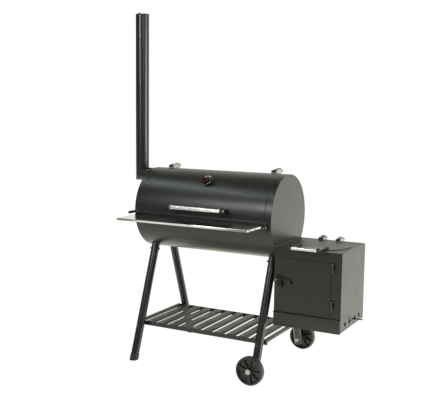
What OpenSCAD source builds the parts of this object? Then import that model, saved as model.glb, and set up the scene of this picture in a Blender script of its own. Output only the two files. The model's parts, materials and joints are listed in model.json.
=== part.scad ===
// Offset smoker: a horizontal cooking barrel on four splayed tube legs, with a
// firebox hung on its right end, a mitred chimney on its left end, a fold-down
// front shelf and a slatted rack between the legs.
//
// Frame: +Z up, +X towards the firebox, -Y towards the person using it. Every
// module below works from the middle of the barrel, at floor level; place()
// then moves the whole object so that its box stands centred on the origin.

/* [Barrel] */
// Outer radius of the cooking barrel
barrel_r = 200; // [196:1:204]
// Length of the cooking barrel
barrel_len = 736; // [720:1:760]
// Height of the barrel axis above the floor
axis_h = 726; // [715:1:740]
// Sheet thickness of barrel, caps, firebox and door
sheet = 2; // [1.5:0.25:2.5]
// Length of the lid along the barrel
lid_len = 671; // [650:1:680]
// Angle of the front seam, up from the barrel's foremost line
front_seam_deg = -2.3; // [-4:0.1:0]
// Angle of the rear seam, over the top from the barrel's foremost line
rear_seam_deg = 98; // [94:1:100]

/* [Firebox] */
// Width of the firebox along the barrel axis
firebox_w = 322; // [310:1:330]
// Depth of the firebox from front to back
firebox_d = 318; // [316:1:320]
// Height of the firebox
firebox_h = 358; // [350:1:365]
// Drop of the firebox top below the barrel axis
firebox_drop = 120; // [118:1:124]
// Radius of the round firebox lid
fire_lid_r = 141; // [138:1:143]

/* [Chimney] */
// Outer radius of the chimney pipe
pipe_r = 34; // [30:1:35]
// Distance from the barrel's left end to the chimney axis
pipe_reach = 91; // [85:1:105]
// Height of the pipe's top edge above the floor
pipe_top = 1694; // [1500:1:1750]
// Height of the stub axis above the barrel axis
stub_rise = 161; // [150:1:161]

/* [Stand] */
// Outer radius of the leg tubes
leg_r = 20; // [17:0.5:21]
// Distance of each leg pair from the middle of the barrel
leg_x = 326; // [318:1:330]
// Distance of each foot from the barrel axis, front to back
foot_y = 274; // [265:1:278]
// Distance of each leg's top from the barrel axis, front to back
leg_top_y = 78; // [72:0.5:85]
// Height of the leg's top point on its centre line
leg_top_z = 546; // [540:1:550]
// Radius of the wheels
wheel_r = 66; // [62:0.5:70]
// Width of the wheel rims
wheel_w = 32; // [28:1:34]
// Height of the rack's top surface
rack_z = 172; // [165:1:180]

/* [Shelf] */
// Length of the front shelf
shelf_len = 690; // [680:1:696]
// Depth of the front shelf
shelf_depth = 182; // [160:1:190]
// Height of the shelf's top surface
shelf_z = 711; // [708:1:713]

/* [Hidden] */
$fn = 96;
gap = 0.3;             // free space between pieces that move past each other
run = 0.05;            // radial clearance of a shaft in its bearing
barrel_x = barrel_len / 2;
barrel_in = barrel_r - sheet;
lid_x = lid_len / 2;
seam = 1;              // width of the seam round the lid
seam_deg = 0.35;       // the same seam along the lid's straight edges
far = 900;             // larger than anything that is cut

collar = 4.5;           // thickness of the pad between barrel and firebox
box_x0 = barrel_x + collar;
box_x1 = box_x0 + firebox_w;
box_mid = (box_x0 + box_x1) / 2;
box_y = firebox_d / 2;
box_z1 = axis_h - firebox_drop;
box_z0 = box_z1 - firebox_h;

pipe_x = -barrel_x - pipe_reach;
stub_z = axis_h + stub_rise;
pipe_wall = 1.5;

leg_tilt = atan((foot_y - leg_top_y) / leg_top_z);
leg_wall = 2;
bolt_r = 3;
bolt_hole_r = 3.2;
leg_bolt_z = 521;

axle_r = 5;
// The floor lies a little below the zero that the heights count from
floor_z = -5.5;
axle_z = floor_z + wheel_r;
// The legs stand a little nearer the firebox than the barrel's middle
leg_xs = [2.5 - leg_x, 2.5 + leg_x];
wheel_y = foot_y + 34;
hub_y0 = wheel_y - wheel_w / 2 - 10;
hub_y1 = wheel_y + wheel_w / 2 + 2;
axle_cap_y = hub_y1 + 6.5;

rack_x = 352;
rack_y = 191;
slat_pitch = 64.1;
slat_gap = 25.5;
slat_count = 10;

shelf_y1 = -barrel_r - 6;
shelf_y0 = shelf_y1 - shelf_depth;
shelf_sheet = 1.5;
shelf_fold = 10;
shelf_pivot_y = shelf_y1 - 8;
shelf_pivot_z = shelf_z - 13;

lid_pin_y = 65;
lid_pin_z = axis_h + 209;
lid_hinge_x = 286;
fire_pin_y = 152;
fire_pin_z = box_z1 + 12;
fire_hinge_x = 43.5;

handle_deg = 8.3;
handle_reach = 250;
handle_half = 134;
gauge_x = 6;
gauge_deg = 51;

door_x0 = box_x0 + 38;
door_x1 = box_x0 + 271;
door_z0 = box_z0 + 64.5;
door_z1 = box_z0 + 311;
door_pin_x = door_x1 + 8;
door_pin_y = -box_y - 9;
door_knuckle_z = [box_z0 + 104, box_z0 + 274];
latch_x = box_x0 + 77.5;
latch_z = box_z0 + 200;
keeper_x = box_x0 + 11;
keeper_z = box_z0 + 210;
keeper_r = 13.4;

drawer_z1 = box_z0 + 60;
vent_z = box_z0 + 28;
vent_r = 11;
vent_y = [-95.5, -37.5, 37.5, 95.5];
tab_x1 = box_x1 + 44;

mid_x = (pipe_x - pipe_r + tab_x1) / 2;
mid_y = (shelf_y0 + axle_cap_y) / 2;

// ---- shared shapes -------------------------------------------------------

module place() {
    translate([-mid_x, -mid_y, -floor_z]) children();
}

// Box between two corners
module box(a, b) {
    translate(a) cube(b - a);
}

// Round bar along X, centred on y and z
module x_bar(r, x0, x1, y, z) {
    translate([x0, y, z]) rotate([0, 90, 0]) cylinder(r = r, h = x1 - x0);
}

// Round bar along Y, centred on x and z
module y_bar(r, y0, y1, x, z) {
    translate([x, y0, z]) rotate([-90, 0, 0]) cylinder(r = r, h = y1 - y0);
}

// Round bar along Z, centred on x and y
module z_bar(r, z0, z1, x, y) {
    translate([x, y, z0]) cylinder(r = r, h = z1 - z0);
}

// Round bar on the barrel axis
module axis_bar(r, x0, x1) {
    x_bar(r, x0, x1, 0, axis_h);
}

// Piece of a barrel wall between two angles, counted up from the foremost line
module barrel_arc(r0, r1, x0, x1, a0, a1) {
    translate([x0, 0, axis_h]) rotate([0, 90, 0])
        rotate_extrude(angle = a1 - a0, start = 270 - a1, $fn = 180)
            translate([r0, 0]) square([r1 - r0, x1 - x0]);
}

// Puts its children on the barrel wall: their Z points out, their Y upwards
module on_barrel(x, deg) {
    translate([x, 0, axis_h]) rotate([90 - deg, 0, 0]) children();
}

// Hexagon head or nut along Z
module hex(across, h) {
    cylinder(d = across / cos(30), h = h, $fn = 6);
}

// Puts its children on a leg: their Z runs up its centre line from the floor.
// side is -1 for a front leg and 1 for a rear leg
module on_leg(x, side) {
    translate([x, side * foot_y, 0]) rotate([side * leg_tilt, 0, 0]) children();
}

// Distance of a leg's centre line from the barrel axis at a given height
function leg_y_at(z) = foot_y - z * tan(leg_tilt);

// Length along a leg's centre line that reaches a given height
function leg_s_at(z) = z / cos(leg_tilt);

// ---- barrel --------------------------------------------------------------

module lid_window() {
    barrel_arc(barrel_in - 8, barrel_r + 8, -lid_x - seam, lid_x + seam,
               front_seam_deg, rear_seam_deg);
}

module barrel_shell() {
    ledge_in = barrel_in - 2.3;
    color("#2d2b28") {
        difference() {
            axis_bar(barrel_r, -barrel_x, barrel_x);
            axis_bar(barrel_in, -barrel_x - 1, barrel_x + 1);
            lid_window();
        }
        // rolled ledges that the closed lid rests on
        for (side = [-1, 1]) {
            x_in = side * (lid_x - 12);
            x_seam = side * (lid_x + seam);
            x_out = side * (lid_x + 9);
            barrel_arc(ledge_in, barrel_in - gap, min(x_in, x_seam),
                       max(x_in, x_seam), front_seam_deg, rear_seam_deg);
            barrel_arc(ledge_in, barrel_in, min(x_seam, x_out),
                       max(x_seam, x_out), front_seam_deg, rear_seam_deg);
        }
        barrel_arc(ledge_in, barrel_in, -lid_x, lid_x,
                   front_seam_deg - 5, front_seam_deg);
        barrel_arc(ledge_in, barrel_in - gap, -lid_x, lid_x,
                   front_seam_deg, front_seam_deg + 3);
        // shelves for the cooking grates
        intersection() {
            axis_bar(barrel_in, -lid_x, lid_x);
            for (side = [-1, 1])
                translate([-lid_x, side > 0 ? 172 : -barrel_r, axis_h - 37])
                    cube([lid_len, barrel_r - 172, 3]);
        }
    }
}

module barrel_lid() {
    color("#2d2b28") difference() {
        barrel_arc(barrel_in, barrel_r, -lid_x, lid_x,
                   front_seam_deg + seam_deg, rear_seam_deg - seam_deg);
        on_barrel(gauge_x, gauge_deg) cylinder(r = 4.3, h = barrel_r + 10);
    }
}

// Dished disc that closes an end of the barrel; side is -1 left or 1 right
module end_cap(side) {
    rim = 16;
    translate([side * (barrel_x - sheet), 0, axis_h])
        rotate([0, -side * 90, 0]) difference() {
            translate([0, 0, -sheet]) cylinder(r = barrel_in, h = rim + sheet, $fn = 180);
            cylinder(r = barrel_in - sheet, h = rim + 1, $fn = 180);
        }
}

module left_end_cap() {
    color("#2d2b28") difference() {
        end_cap(-1);
        x_bar(pipe_r, -barrel_x - 5, -barrel_x + 30, 0, stub_z);
    }
}

// Smoke passage between the barrel and the firebox
module smoke_passage(x0, x1) {
    intersection() {
        axis_bar(barrel_r - 20, x0, x1);
        box([x0, -box_y, box_z0], [x1, box_y, box_z1 - 15]);
    }
}

flange_bolt_r = 2.5;
flange_bolt_at = [[-136, box_z1 - 13], [136, box_z1 - 13], [-45, axis_h - 184], [45, axis_h - 184]];

module flange_holes(x0, x1) {
    for (p = flange_bolt_at) x_bar(flange_bolt_r + 0.2, x0, x1, p[0], p[1]);
}

module right_end_cap() {
    color("#2d2b28") difference() {
        end_cap(1);
        smoke_passage(barrel_x - 30, barrel_x + 5);
        flange_holes(barrel_x - 5, barrel_x + 5);
    }
}

module grate(x0, x1) {
    z = axis_h - 33.7;
    y = 184;
    bars = 16;
    color("#8c8c88") {
        for (side = [-1, 1])
            box([x0, side * y - 3, z], [x1, side * y + 3, z + 6]);
        for (x = [x0, x1 - 6])
            box([x, -y, z], [x + 6, y, z + 6]);
        for (i = [1 : bars])
            y_bar(2.5, -y, y, x0 + 3 + i * (x1 - x0 - 6) / (bars + 1), z + 3);
    }
}

module cooking_grate_left() {
    grate(-lid_x + 8, -2);
}

module cooking_grate_right() {
    grate(2, lid_x - 8);
}

// ---- barrel hinges -------------------------------------------------------

module at_lid_hinges() {
    for (side = [-1, 1]) translate([side * lid_hinge_x, 0, 0]) children();
}

module barrel_hinge_knuckles() {
    half = 10;
    color("#b9b6ad") at_lid_hinges() difference() {
        union() {
            barrel_arc(barrel_r, barrel_r + 2.5, -18, 18, rear_seam_deg + 2, rear_seam_deg + 20);
            x_bar(13, -half, half, lid_pin_y, lid_pin_z);
            box([-half, lid_pin_y - 9, axis_h + barrel_r - 20],
                [half, lid_pin_y + 9, lid_pin_z]);
        }
        axis_bar(barrel_r, -30, 30);
        x_bar(4, -30, 30, lid_pin_y, lid_pin_z);
    }
}

module lid_hinge_arms() {
    inner = 10.4;
    outer = 15;
    y0 = 4;
    color("#b9b6ad") at_lid_hinges() difference() {
        union() {
            for (side = [-1, 1]) {
                x0 = side > 0 ? inner : -outer;
                x1 = side > 0 ? outer : -inner;
                x_bar(9, x0, x1, lid_pin_y, lid_pin_z);
                box([x0, y0, axis_h + barrel_r - 10], [x1, lid_pin_y, lid_pin_z + 5]);
            }
            box([-outer, y0, axis_h + barrel_r - 10], [outer, y0 + 27, axis_h + barrel_r + 4]);
        }
        axis_bar(barrel_r, -30, 30);
        // the straps stop short of the fixed shell behind the seam
        box([-30, lid_pin_y - 34, 0], [30, lid_pin_y + 30, lid_pin_z - 9]);
        x_bar(4 + run, -30, 30, lid_pin_y, lid_pin_z);
    }
}

module lid_hinge_blocks() {
    color("#16150f") at_lid_hinges()
        box([-10.2, 6, axis_h + barrel_r + 4], [10.2, 31, axis_h + barrel_r + 16]);
}

// Bars that every hinge turns on
module hinge_pins() {
    color("#b9b6ad") {
        at_lid_hinges() x_bar(4, -17, 17, lid_pin_y, lid_pin_z);
        at_fire_hinges() x_bar(3, -15, 15, fire_pin_y, fire_pin_z);
        for (z = door_knuckle_z)
            z_bar(3, z, z + 34, door_pin_x, door_pin_y);
    }
}

// ---- lid handle ----------------------------------------------------------

handle_y = -handle_reach * cos(handle_deg);
handle_z = axis_h + handle_reach * sin(handle_deg);
standoff_w = 12;

module lid_handle_tube() {
    color("#c9c7c0") difference() {
        x_bar(10, -handle_half, handle_half, handle_y, handle_z);
        x_bar(8.5, -handle_half - 1, handle_half + 1, handle_y, handle_z);
    }
}

module lid_handle_standoffs() {
    color("#16150f") for (side = [-1, 1]) {
        x0 = side > 0 ? handle_half : -handle_half - standoff_w;
        spigot_x0 = side > 0 ? handle_half - 14 : -handle_half - 3;
        difference() {
            union() {
                translate([x0, 0, axis_h]) rotate([90, 0, 90]) linear_extrude(standoff_w)
                    rotate(180 - handle_deg) {
                        translate([handle_reach, 0]) circle(r = 12);
                        translate([barrel_r, -8]) square([handle_reach - barrel_r - 6, 16]);
                        translate([barrel_r, -13]) square([5, 26]);
                    }
                x_bar(8.5, spigot_x0, spigot_x0 + 17, handle_y, handle_z);
            }
            x_bar(bolt_r, x0 - 20, x0 + standoff_w + 20, handle_y, handle_z);
        }
    }
}

module lid_handle_screws() {
    color("#c9c7c0") for (side = [-1, 1])
        translate([side * (handle_half + standoff_w), handle_y, handle_z])
            rotate([0, side * 90, 0]) {
                cylinder(r = 6, h = 2.5);
                translate([0, 0, -24]) cylinder(r = bolt_r, h = 24);
            }
}

// ---- thermometer ---------------------------------------------------------

gauge_r = 26.5;
dial_z = 9;
dial_tilt = 20;
dial_y = -132;
dial_up = 161.5;

// Puts its children on the stem: their Z points straight out of the lid
module at_gauge() {
    on_barrel(gauge_x, gauge_deg) translate([0, 0, barrel_r]) children();
}

// Puts its children behind the dial, which faces forward and looks up by dial_tilt
module at_dial() {
    translate([gauge_x, dial_y, axis_h + dial_up]) rotate([90 - dial_tilt, 0, 0]) children();
}

module thermometer_case() {
    color("#1b1a17") {
        at_gauge() translate([0, 0, -45]) cylinder(r = 4, h = 49);
        difference() {
            union() {
                at_dial() translate([0, 0, 3]) cylinder(r = gauge_r, h = 12);
                // slanted neck between the lid and the head
                hull() {
                    at_gauge() cylinder(r = 12, h = 2);
                    at_dial() translate([0, 0, 3]) cylinder(r = 16, h = 1);
                }
            }
            at_dial() {
                translate([0, 0, 5]) cylinder(r = gauge_r - 2.5, h = 8);
                translate([0, 0, 12]) cylinder(r = gauge_r - 4, h = 8);
            }
            axis_bar(barrel_r + 0.3, gauge_x - 50, gauge_x + 50);
        }
    }
}

module thermometer_dial() {
    color("#24231f") at_dial() difference() {
        translate([0, 0, dial_z]) cylinder(r = gauge_r - 2.6, h = 1);
        translate([0, 0, dial_z - 1]) cylinder(r = 1 + run, h = 3);
    }
}

module thermometer_glass() {
    color([0.85, 0.88, 0.9, 0.35]) at_dial()
        translate([0, 0, 12.1]) cylinder(r = gauge_r - 4.1, h = 1.2);
}

module thermometer_nut() {
    color("#b9b6ad") at_gauge() difference() {
        translate([0, 0, -8.6]) hex(17, 6);
        translate([0, 0, -10]) cylinder(r = 4, h = 10);
    }
}

module thermometer_needle() {
    color("#b3202a") at_dial() rotate([0, 0, 218]) {
        translate([0, 0, dial_z - 3]) cylinder(r = 1, h = 5);
        translate([0, 0, dial_z + 1.3]) cylinder(r = 2.6, h = 0.9);
        translate([-6, -0.8, dial_z + 1.3]) cube([24, 1.6, 0.9]);
    }
}

// ---- chimney -------------------------------------------------------------

// Space on one side of the mitre: the pipe's side, or the stub's
module mitre_space(pipe_side) {
    translate([pipe_x, 0, stub_z]) rotate([0, -45, 0])
        translate([-far, -100, pipe_side ? 0 : -far]) cube([2 * far, 200, far]);
}

module elbow_bar(r, x1, z1) {
    intersection() {
        z_bar(r, stub_z - 2 * pipe_r, z1, pipe_x, 0);
        mitre_space(true);
    }
    intersection() {
        x_bar(r, pipe_x - 2 * pipe_r, x1, 0, stub_z);
        mitre_space(false);
    }
}

cap_pivot_x = pipe_x + 21;

module chimney_pipe() {
    color("#24231f") {
        difference() {
            elbow_bar(pipe_r, -barrel_x + 8, pipe_top);
            elbow_bar(pipe_r - pipe_wall, -barrel_x + 9, pipe_top + 1);
        }
        // tab that carries the cap's pivot screw
        difference() {
            box([pipe_x + 13, -8, pipe_top - 10], [pipe_x + pipe_r - 1, 8, pipe_top - 7]);
            z_bar(2.5, pipe_top - 20, pipe_top, cap_pivot_x, 0);
        }
    }
}

cap_z0 = pipe_top + gap;
cap_h = 3;

module chimney_cap() {
    color("#24231f") difference() {
        union() {
            z_bar(pipe_r, cap_z0, cap_z0 + cap_h, pipe_x, 0);
            box([pipe_x - 20, -6, cap_z0], [pipe_x - 18, 6, cap_z0 + cap_h + 10]);
        }
        z_bar(2.5 + run, pipe_top - 20, pipe_top + 20, cap_pivot_x, 0);
    }
}

module cap_pivot_screw() {
    color("#b9b6ad") {
        z_bar(2.5, pipe_top - 14, cap_z0 + cap_h + gap + 1, cap_pivot_x, 0);
        z_bar(5, cap_z0 + cap_h + gap, cap_z0 + cap_h + gap + 3, cap_pivot_x, 0);
    }
}

// ---- handle on the left end ----------------------------------------------

module side_handle() {
    x = -barrel_x - 25;
    z = axis_h - 12;
    half = 212;
    color("#16150f") {
        y_bar(7, -half, half, x, z);
        for (side = [-1, 1]) {
            translate([x, side * half, z]) sphere(r = 7);
            x_bar(5, x, -barrel_x, side * 140, z);
        }
    }
}

// ---- front shelf ---------------------------------------------------------

module front_shelf() {
    x = shelf_len / 2;
    color("#c9c7c0") difference() {
        union() {
            box([-x, shelf_y0, shelf_z - shelf_sheet], [x, shelf_y1, shelf_z]);
            box([-x, shelf_y0, shelf_z - shelf_fold], [x, shelf_y0 + shelf_sheet, shelf_z]);
            box([-x, shelf_y1 - shelf_sheet, shelf_z - shelf_fold], [x, shelf_y1, shelf_z]);
            for (side = [-1, 1]) {
                x0 = side > 0 ? x - shelf_sheet : -x;
                box([x0, shelf_y0, shelf_z - shelf_fold], [x0 + shelf_sheet, shelf_y1, shelf_z]);
                box([x0, shelf_y1 - 16, shelf_z - 20], [x0 + shelf_sheet, shelf_y1, shelf_z]);
            }
        }
        x_bar(bolt_r + run, -x - 1, x + 1, shelf_pivot_y, shelf_pivot_z);
    }
}

module shelf_brackets() {
    x = shelf_len / 2 + gap;
    depth = 29;
    drop = 39;
    color("#16150f") for (side = [-1, 1]) {
        x0 = side > 0 ? x : -x - 4;
        difference() {
            union() {
                box([x0, -barrel_r - depth + 3, shelf_z - drop + depth / 2],
                    [x0 + 4, -barrel_r + 3, shelf_z + 4]);
                x_bar(depth / 2, x0, x0 + 4, -barrel_r - depth / 2 + 3, shelf_z - drop + depth / 2);
            }
            axis_bar(barrel_r, -far, far);
            x_bar(bolt_r, x0 - 1, x0 + 5, shelf_pivot_y, shelf_pivot_z);
        }
    }
}

module shelf_pivot_bolts() {
    x = shelf_len / 2;
    color("#b9b6ad") for (side = [-1, 1])
        translate([side * x, shelf_pivot_y, shelf_pivot_z]) rotate([0, side * 90, 0]) {
            translate([0, 0, 4.3]) cylinder(r = 5.5, h = 3);
            translate([0, 0, -6]) cylinder(r = bolt_r, h = 10.3);
            translate([0, 0, -6]) cylinder(r = 5, h = 4.2);
        }
}

// ---- legs ----------------------------------------------------------------

// side is -1 for a front leg and 1 for a rear leg; s0 is where the tube starts
module leg(x, side, s0) {
    color("#24231f") difference() {
        on_leg(x, side) translate([0, 0, s0]) cylinder(r = leg_r, h = leg_s_at(leg_top_z) + 20 - s0);
        on_leg(x, side) translate([0, 0, s0 - 1])
            cylinder(r = leg_r - leg_wall, h = leg_s_at(leg_top_z) + 40);
        axis_bar(barrel_r, -far, far);
        x_bar(bolt_hole_r, x - 30, x + 30, side * leg_y_at(leg_bolt_z), leg_bolt_z);
        if (s0 > 30)
            translate([x, 0, axle_z]) rotate([side * -90, 0, 0])
                translate([0, 0, foot_y - 60]) cylinder(r = axle_r, h = 80);
        translate([x, 0, rack_bolt_z]) rotate([side * -90, 0, 0])
            translate([0, 0, foot_y - 90]) cylinder(r = bolt_hole_r, h = 70);
    }
}

left_leg_start = 10;
right_leg_start = 42;
rack_bolt_z = rack_z - 15;

module leg_front_left() {
    leg(leg_xs[0], -1, left_leg_start);
}

module leg_rear_left() {
    leg(leg_xs[0], 1, left_leg_start);
}

module leg_front_right() {
    leg(leg_xs[1], -1, right_leg_start);
}

module leg_rear_right() {
    leg(leg_xs[1], 1, right_leg_start);
}

// Solid plugs welded under the barrel, which the legs slip over
module leg_spigots() {
    s0 = leg_s_at(leg_bolt_z) - 20;
    color("#24231f") for (x = leg_xs, side = [-1, 1]) difference() {
        on_leg(x, side) translate([0, 0, s0]) cylinder(r = leg_r - leg_wall, h = 80);
        axis_bar(barrel_r, -far, far);
        x_bar(bolt_hole_r, x - 30, x + 30, side * leg_y_at(leg_bolt_z), leg_bolt_z);
    }
}

// Bolt along Z with its head on top and a nut below the clamped length
module bolt(r, clamped) {
    cylinder(r = 1.9 * r, h = 0.8 * r);
    translate([0, 0, -clamped - 1.2 * r - 1]) cylinder(r = r, h = clamped + 1.2 * r + 2);
    translate([0, 0, -clamped - 1.2 * r]) cylinder(r = 1.8 * r, h = 1.2 * r);
}

module frame_bolts() {
    head_y = leg_y_at(rack_bolt_z) + leg_r + 4;
    color("#3a3934") for (end = [-1, 1], side = [-1, 1]) {
        x = end < 0 ? leg_xs[0] : leg_xs[1];
        translate([x + end * leg_r, side * leg_y_at(leg_bolt_z), leg_bolt_z])
            rotate([0, end * 90, 0]) bolt(bolt_r, 2 * leg_r);
        // screws up to the inner face of the rail, in the thread of its boss
        translate([x, 0, rack_bolt_z]) rotate([side * -90, 0, 0])
            translate([0, 0, rack_y - 2]) cylinder(r = bolt_r, h = head_y - rack_y + 3);
        difference() {
            translate([x, 0, rack_bolt_z]) rotate([side * -90, 0, 0])
                translate([0, 0, head_y - 12]) cylinder(r = 5.7, h = 12);
            on_leg(x, side) cylinder(r = leg_r, h = 400);
        }
    }
}

module foot_caps() {
    color("#1a1916") for (side = [-1, 1]) difference() {
        on_leg(leg_xs[0], side) translate([0, 0, -22]) cylinder(r = leg_r + 1.5, h = 46);
        on_leg(leg_xs[0], side) translate([0, 0, left_leg_start]) cylinder(r = leg_r, h = 40);
        box([-far, -far, -50], [far, far, floor_z]);
    }
}

// ---- wheels --------------------------------------------------------------

// Puts its children on an axle: their Z points outwards from the barrel axis
module on_axle(side) {
    translate([leg_xs[1], 0, axle_z]) rotate([side * -90, 0, 0]) children();
}

module wheel(side) {
    ribs = 9;
    y0 = wheel_y - wheel_w / 2;
    y1 = wheel_y + wheel_w / 2;
    web_r = wheel_r - 10;
    color("#24231f") on_axle(side) difference() {
        union() {
            difference() {
                translate([0, 0, y0]) cylinder(r = wheel_r, h = wheel_w);
                translate([0, 0, wheel_y + 2]) cylinder(r = web_r, h = wheel_w);
                translate([0, 0, y0 - 1]) cylinder(r = web_r, h = wheel_w / 2 - 1);
            }
            translate([0, 0, hub_y0]) cylinder(r = 13, h = hub_y1 - hub_y0);
            for (i = [0 : ribs - 1]) rotate([0, 0, 360 * i / ribs])
                translate([10, -1.5, y0 + 4]) cube([web_r - 8, 3, wheel_w - 8]);
        }
        translate([0, 0, hub_y0 - 1]) cylinder(r = axle_r + run, h = hub_y1 - hub_y0 + 2);
    }
}

module front_wheel() {
    wheel(-1);
}

module rear_wheel() {
    wheel(1);
}

module axle_bolts() {
    nut_y = leg_y_at(axle_z) - leg_r - 6;
    color("#b9b6ad") for (side = [-1, 1]) {
        on_axle(side) {
            translate([0, 0, nut_y - 3]) cylinder(r = axle_r, h = hub_y1 + 3 - nut_y);
            translate([0, 0, hub_y1 + 0.5]) cylinder(r = 12, h = 6);
        }
        difference() {
            on_axle(side) translate([0, 0, nut_y]) cylinder(r = 9, h = 16);
            on_leg(leg_xs[1], side) cylinder(r = leg_r, h = 200);
        }
    }
}

module axle_spacers() {
    color("#b9b6ad") for (side = [-1, 1]) difference() {
        on_axle(side) translate([0, 0, leg_y_at(axle_z)])
            cylinder(r = 9, h = hub_y0 - gap - leg_y_at(axle_z));
        on_axle(side) cylinder(r = axle_r, h = far);
        on_leg(leg_xs[1], side) cylinder(r = leg_r, h = 300);
    }
}

// ---- rack ----------------------------------------------------------------

rail_floor_z = rack_z - 12;
slat_y = rack_y - 2.5;

module rack_rail(side) {
    y_out = side * rack_y;
    color("#2d2b28") difference() {
        union() {
            box([-rack_x, min(y_out, y_out - side * 2), rack_z - 21],
                [rack_x, max(y_out, y_out - side * 2), rack_z - 1]);
            box([-rack_x, min(y_out, y_out - side * 24), rail_floor_z - 2],
                [rack_x, max(y_out, y_out - side * 24), rail_floor_z]);
            // bosses that reach the slanted legs
            for (x = leg_xs) difference() {
                translate([x, 0, rack_bolt_z]) rotate([side * -90, 0, 0])
                    translate([0, 0, rack_y - 1]) cylinder(r = 6, h = 20);
                on_leg(x, side) cylinder(r = leg_r, h = 400);
            }
        }
        for (x = leg_xs) translate([x, 0, rack_bolt_z]) rotate([side * -90, 0, 0])
            translate([0, 0, rack_y - 30]) cylinder(r = bolt_hole_r, h = 80);
        for (x = rivet_x) z_bar(2, rail_floor_z - 5, rail_floor_z + 5, x, side * (slat_y - 10));
    }
}

module rack_front_rail() {
    rack_rail(-1);
}

module rack_rear_rail() {
    rack_rail(1);
}

slat_w = slat_pitch - slat_gap;
slat_x = [for (i = [0 : slat_count - 1]) (i - (slat_count - 1) / 2) * slat_pitch];
end_slat_x0 = slat_x[slat_count - 1] + slat_w / 2 + slat_gap;
end_slat_mid = (end_slat_x0 + rack_x) / 2;
rivet_x = concat(slat_x, [-end_slat_mid, end_slat_mid]);

// Slat with its long edges folded down
module slat(x0, x1) {
    z0 = rail_floor_z;
    difference() {
        box([x0, -slat_y, z0], [x1, slat_y, rack_z]);
        box([x0 + 1.5, -slat_y - 1, z0 - 1], [x1 - 1.5, slat_y + 1, rack_z - 1.5]);
        for (side = [-1, 1]) translate([(x0 + x1) / 2, side * (slat_y - 10), rack_z - 1.5]) {
            translate([0, 0, -5]) cylinder(r = 2, h = 6);
            cylinder(r1 = 2, r2 = 4.4, h = 2);
        }
    }
}

module rack_slats() {
    color("#35332f") for (x = slat_x) slat(x - slat_w / 2, x + slat_w / 2);
}

module rack_end_slats() {
    color("#35332f") {
        slat(end_slat_x0, rack_x);
        slat(-rack_x, -end_slat_x0);
    }
}

module rack_rivets() {
    color("#8c8c88") for (x = rivet_x, side = [-1, 1]) {
        z_bar(2, rail_floor_z - 4, rack_z - 0.5, x, side * (slat_y - 10));
        translate([x, side * (slat_y - 10), rack_z - 1.5]) cylinder(r1 = 2, r2 = 3.8, h = 1.5);
        z_bar(3.5, rail_floor_z - 4, rail_floor_z - 2, x, side * (slat_y - 10));
    }
}

// ---- firebox -------------------------------------------------------------

fire_grate_z = box_z0 + 90;
slider_x0 = box_x1 - sheet - 1.8;

module firebox_body() {
    color("#2d2b28") {
        difference() {
            box([box_x0, -box_y, box_z0], [box_x1, box_y, box_z1]);
            box([box_x0 + sheet, -box_y + sheet, box_z0 + sheet],
                [box_x1 - sheet, box_y - sheet, box_z1 - sheet]);
            // door opening, and the open front of the ash drawer
            box([door_x0 + 10, -box_y - 1, door_z0 + 10], [door_x1 - 10, -box_y + 10, door_z1 - 10]);
            box([box_x0 + sheet, -box_y - 1, box_z0 + sheet],
                [box_x1 - sheet, -box_y + 10, drawer_z1 - 3]);
            z_bar(fire_lid_r - 13, box_z1 - 5, box_z1 + 5, box_mid, 0);
            smoke_passage(box_x0 - 5, box_x0 + 5);
            flange_holes(box_x0 - 5, box_x0 + 5);
            for (y = vent_y) x_bar(vent_r, box_x1 - 5, box_x1 + 5, y, vent_z);
            box([box_x1 - 5, -16, vent_z - 4], [box_x1 + 5, 31, vent_z + 2]);
        }
        // pad round the smoke passage, which meets the barrel's end
        difference() {
            intersection() {
                axis_bar(barrel_in - 1, barrel_x, box_x0);
                box([barrel_x, -box_y, box_z0], [box_x0, box_y, box_z1]);
            }
            smoke_passage(barrel_x - 5, box_x0 + 5);
            flange_holes(barrel_x - 5, box_x0 + 5);
        }
        // ledges under the fire grate
        for (x = [box_x0 + sheet, box_x1 - sheet - 12])
            box([x, -box_y + 12, fire_grate_z - 5], [x + 12, box_y - 12, fire_grate_z - 2]);
        // guides that hold the vent slider against the wall
        for (side = [-1, 1]) {
            z = vent_z + side * 15.5;
            box([slider_x0 - 1.8, -150, z - 3], [slider_x0 - gap, 150, z + 3]);
            box([slider_x0 - 1, -150, side > 0 ? z - 1 : z - 3], [box_x1 - sheet, 150, side > 0 ? z + 3 : z + 1]);
        }
    }
}

module firebox_flange_bolts() {
    color("#3a3934") for (p = flange_bolt_at)
        translate([box_x0 + sheet, p[0], p[1]]) rotate([0, 90, 0])
            bolt(flange_bolt_r, 2 * sheet + collar);
}

module fire_grate() {
    x0 = box_x0 + sheet + 4;
    x1 = box_x1 - sheet - 4;
    y = box_y - 16;
    bars = 13;
    z = fire_grate_z - 1.7;
    color("#5a5954") {
        for (s = [-1, 1]) box([x0, s * y - 4, z], [x1, s * y + 4, z + 8]);
        for (i = [0 : bars]) {
            x = x0 + i * (x1 - x0 - 7) / bars;
            box([x, -y, z], [x + 7, y, z + 8]);
        }
    }
}

module firebox_lid() {
    z0 = box_z1 + gap;
    color("#2d2b28") {
        z_bar(fire_lid_r, z0, z0 + 3, box_mid, 0);
        difference() {
            z_bar(fire_lid_r - 15, z0 - 7, z0, box_mid, 0);
            z_bar(fire_lid_r - 17, z0 - 8, z0, box_mid, 0);
        }
    }
}

module at_fire_hinges() {
    for (side = [-1, 1]) translate([box_mid + side * fire_hinge_x, 0, 0]) children();
}

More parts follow.
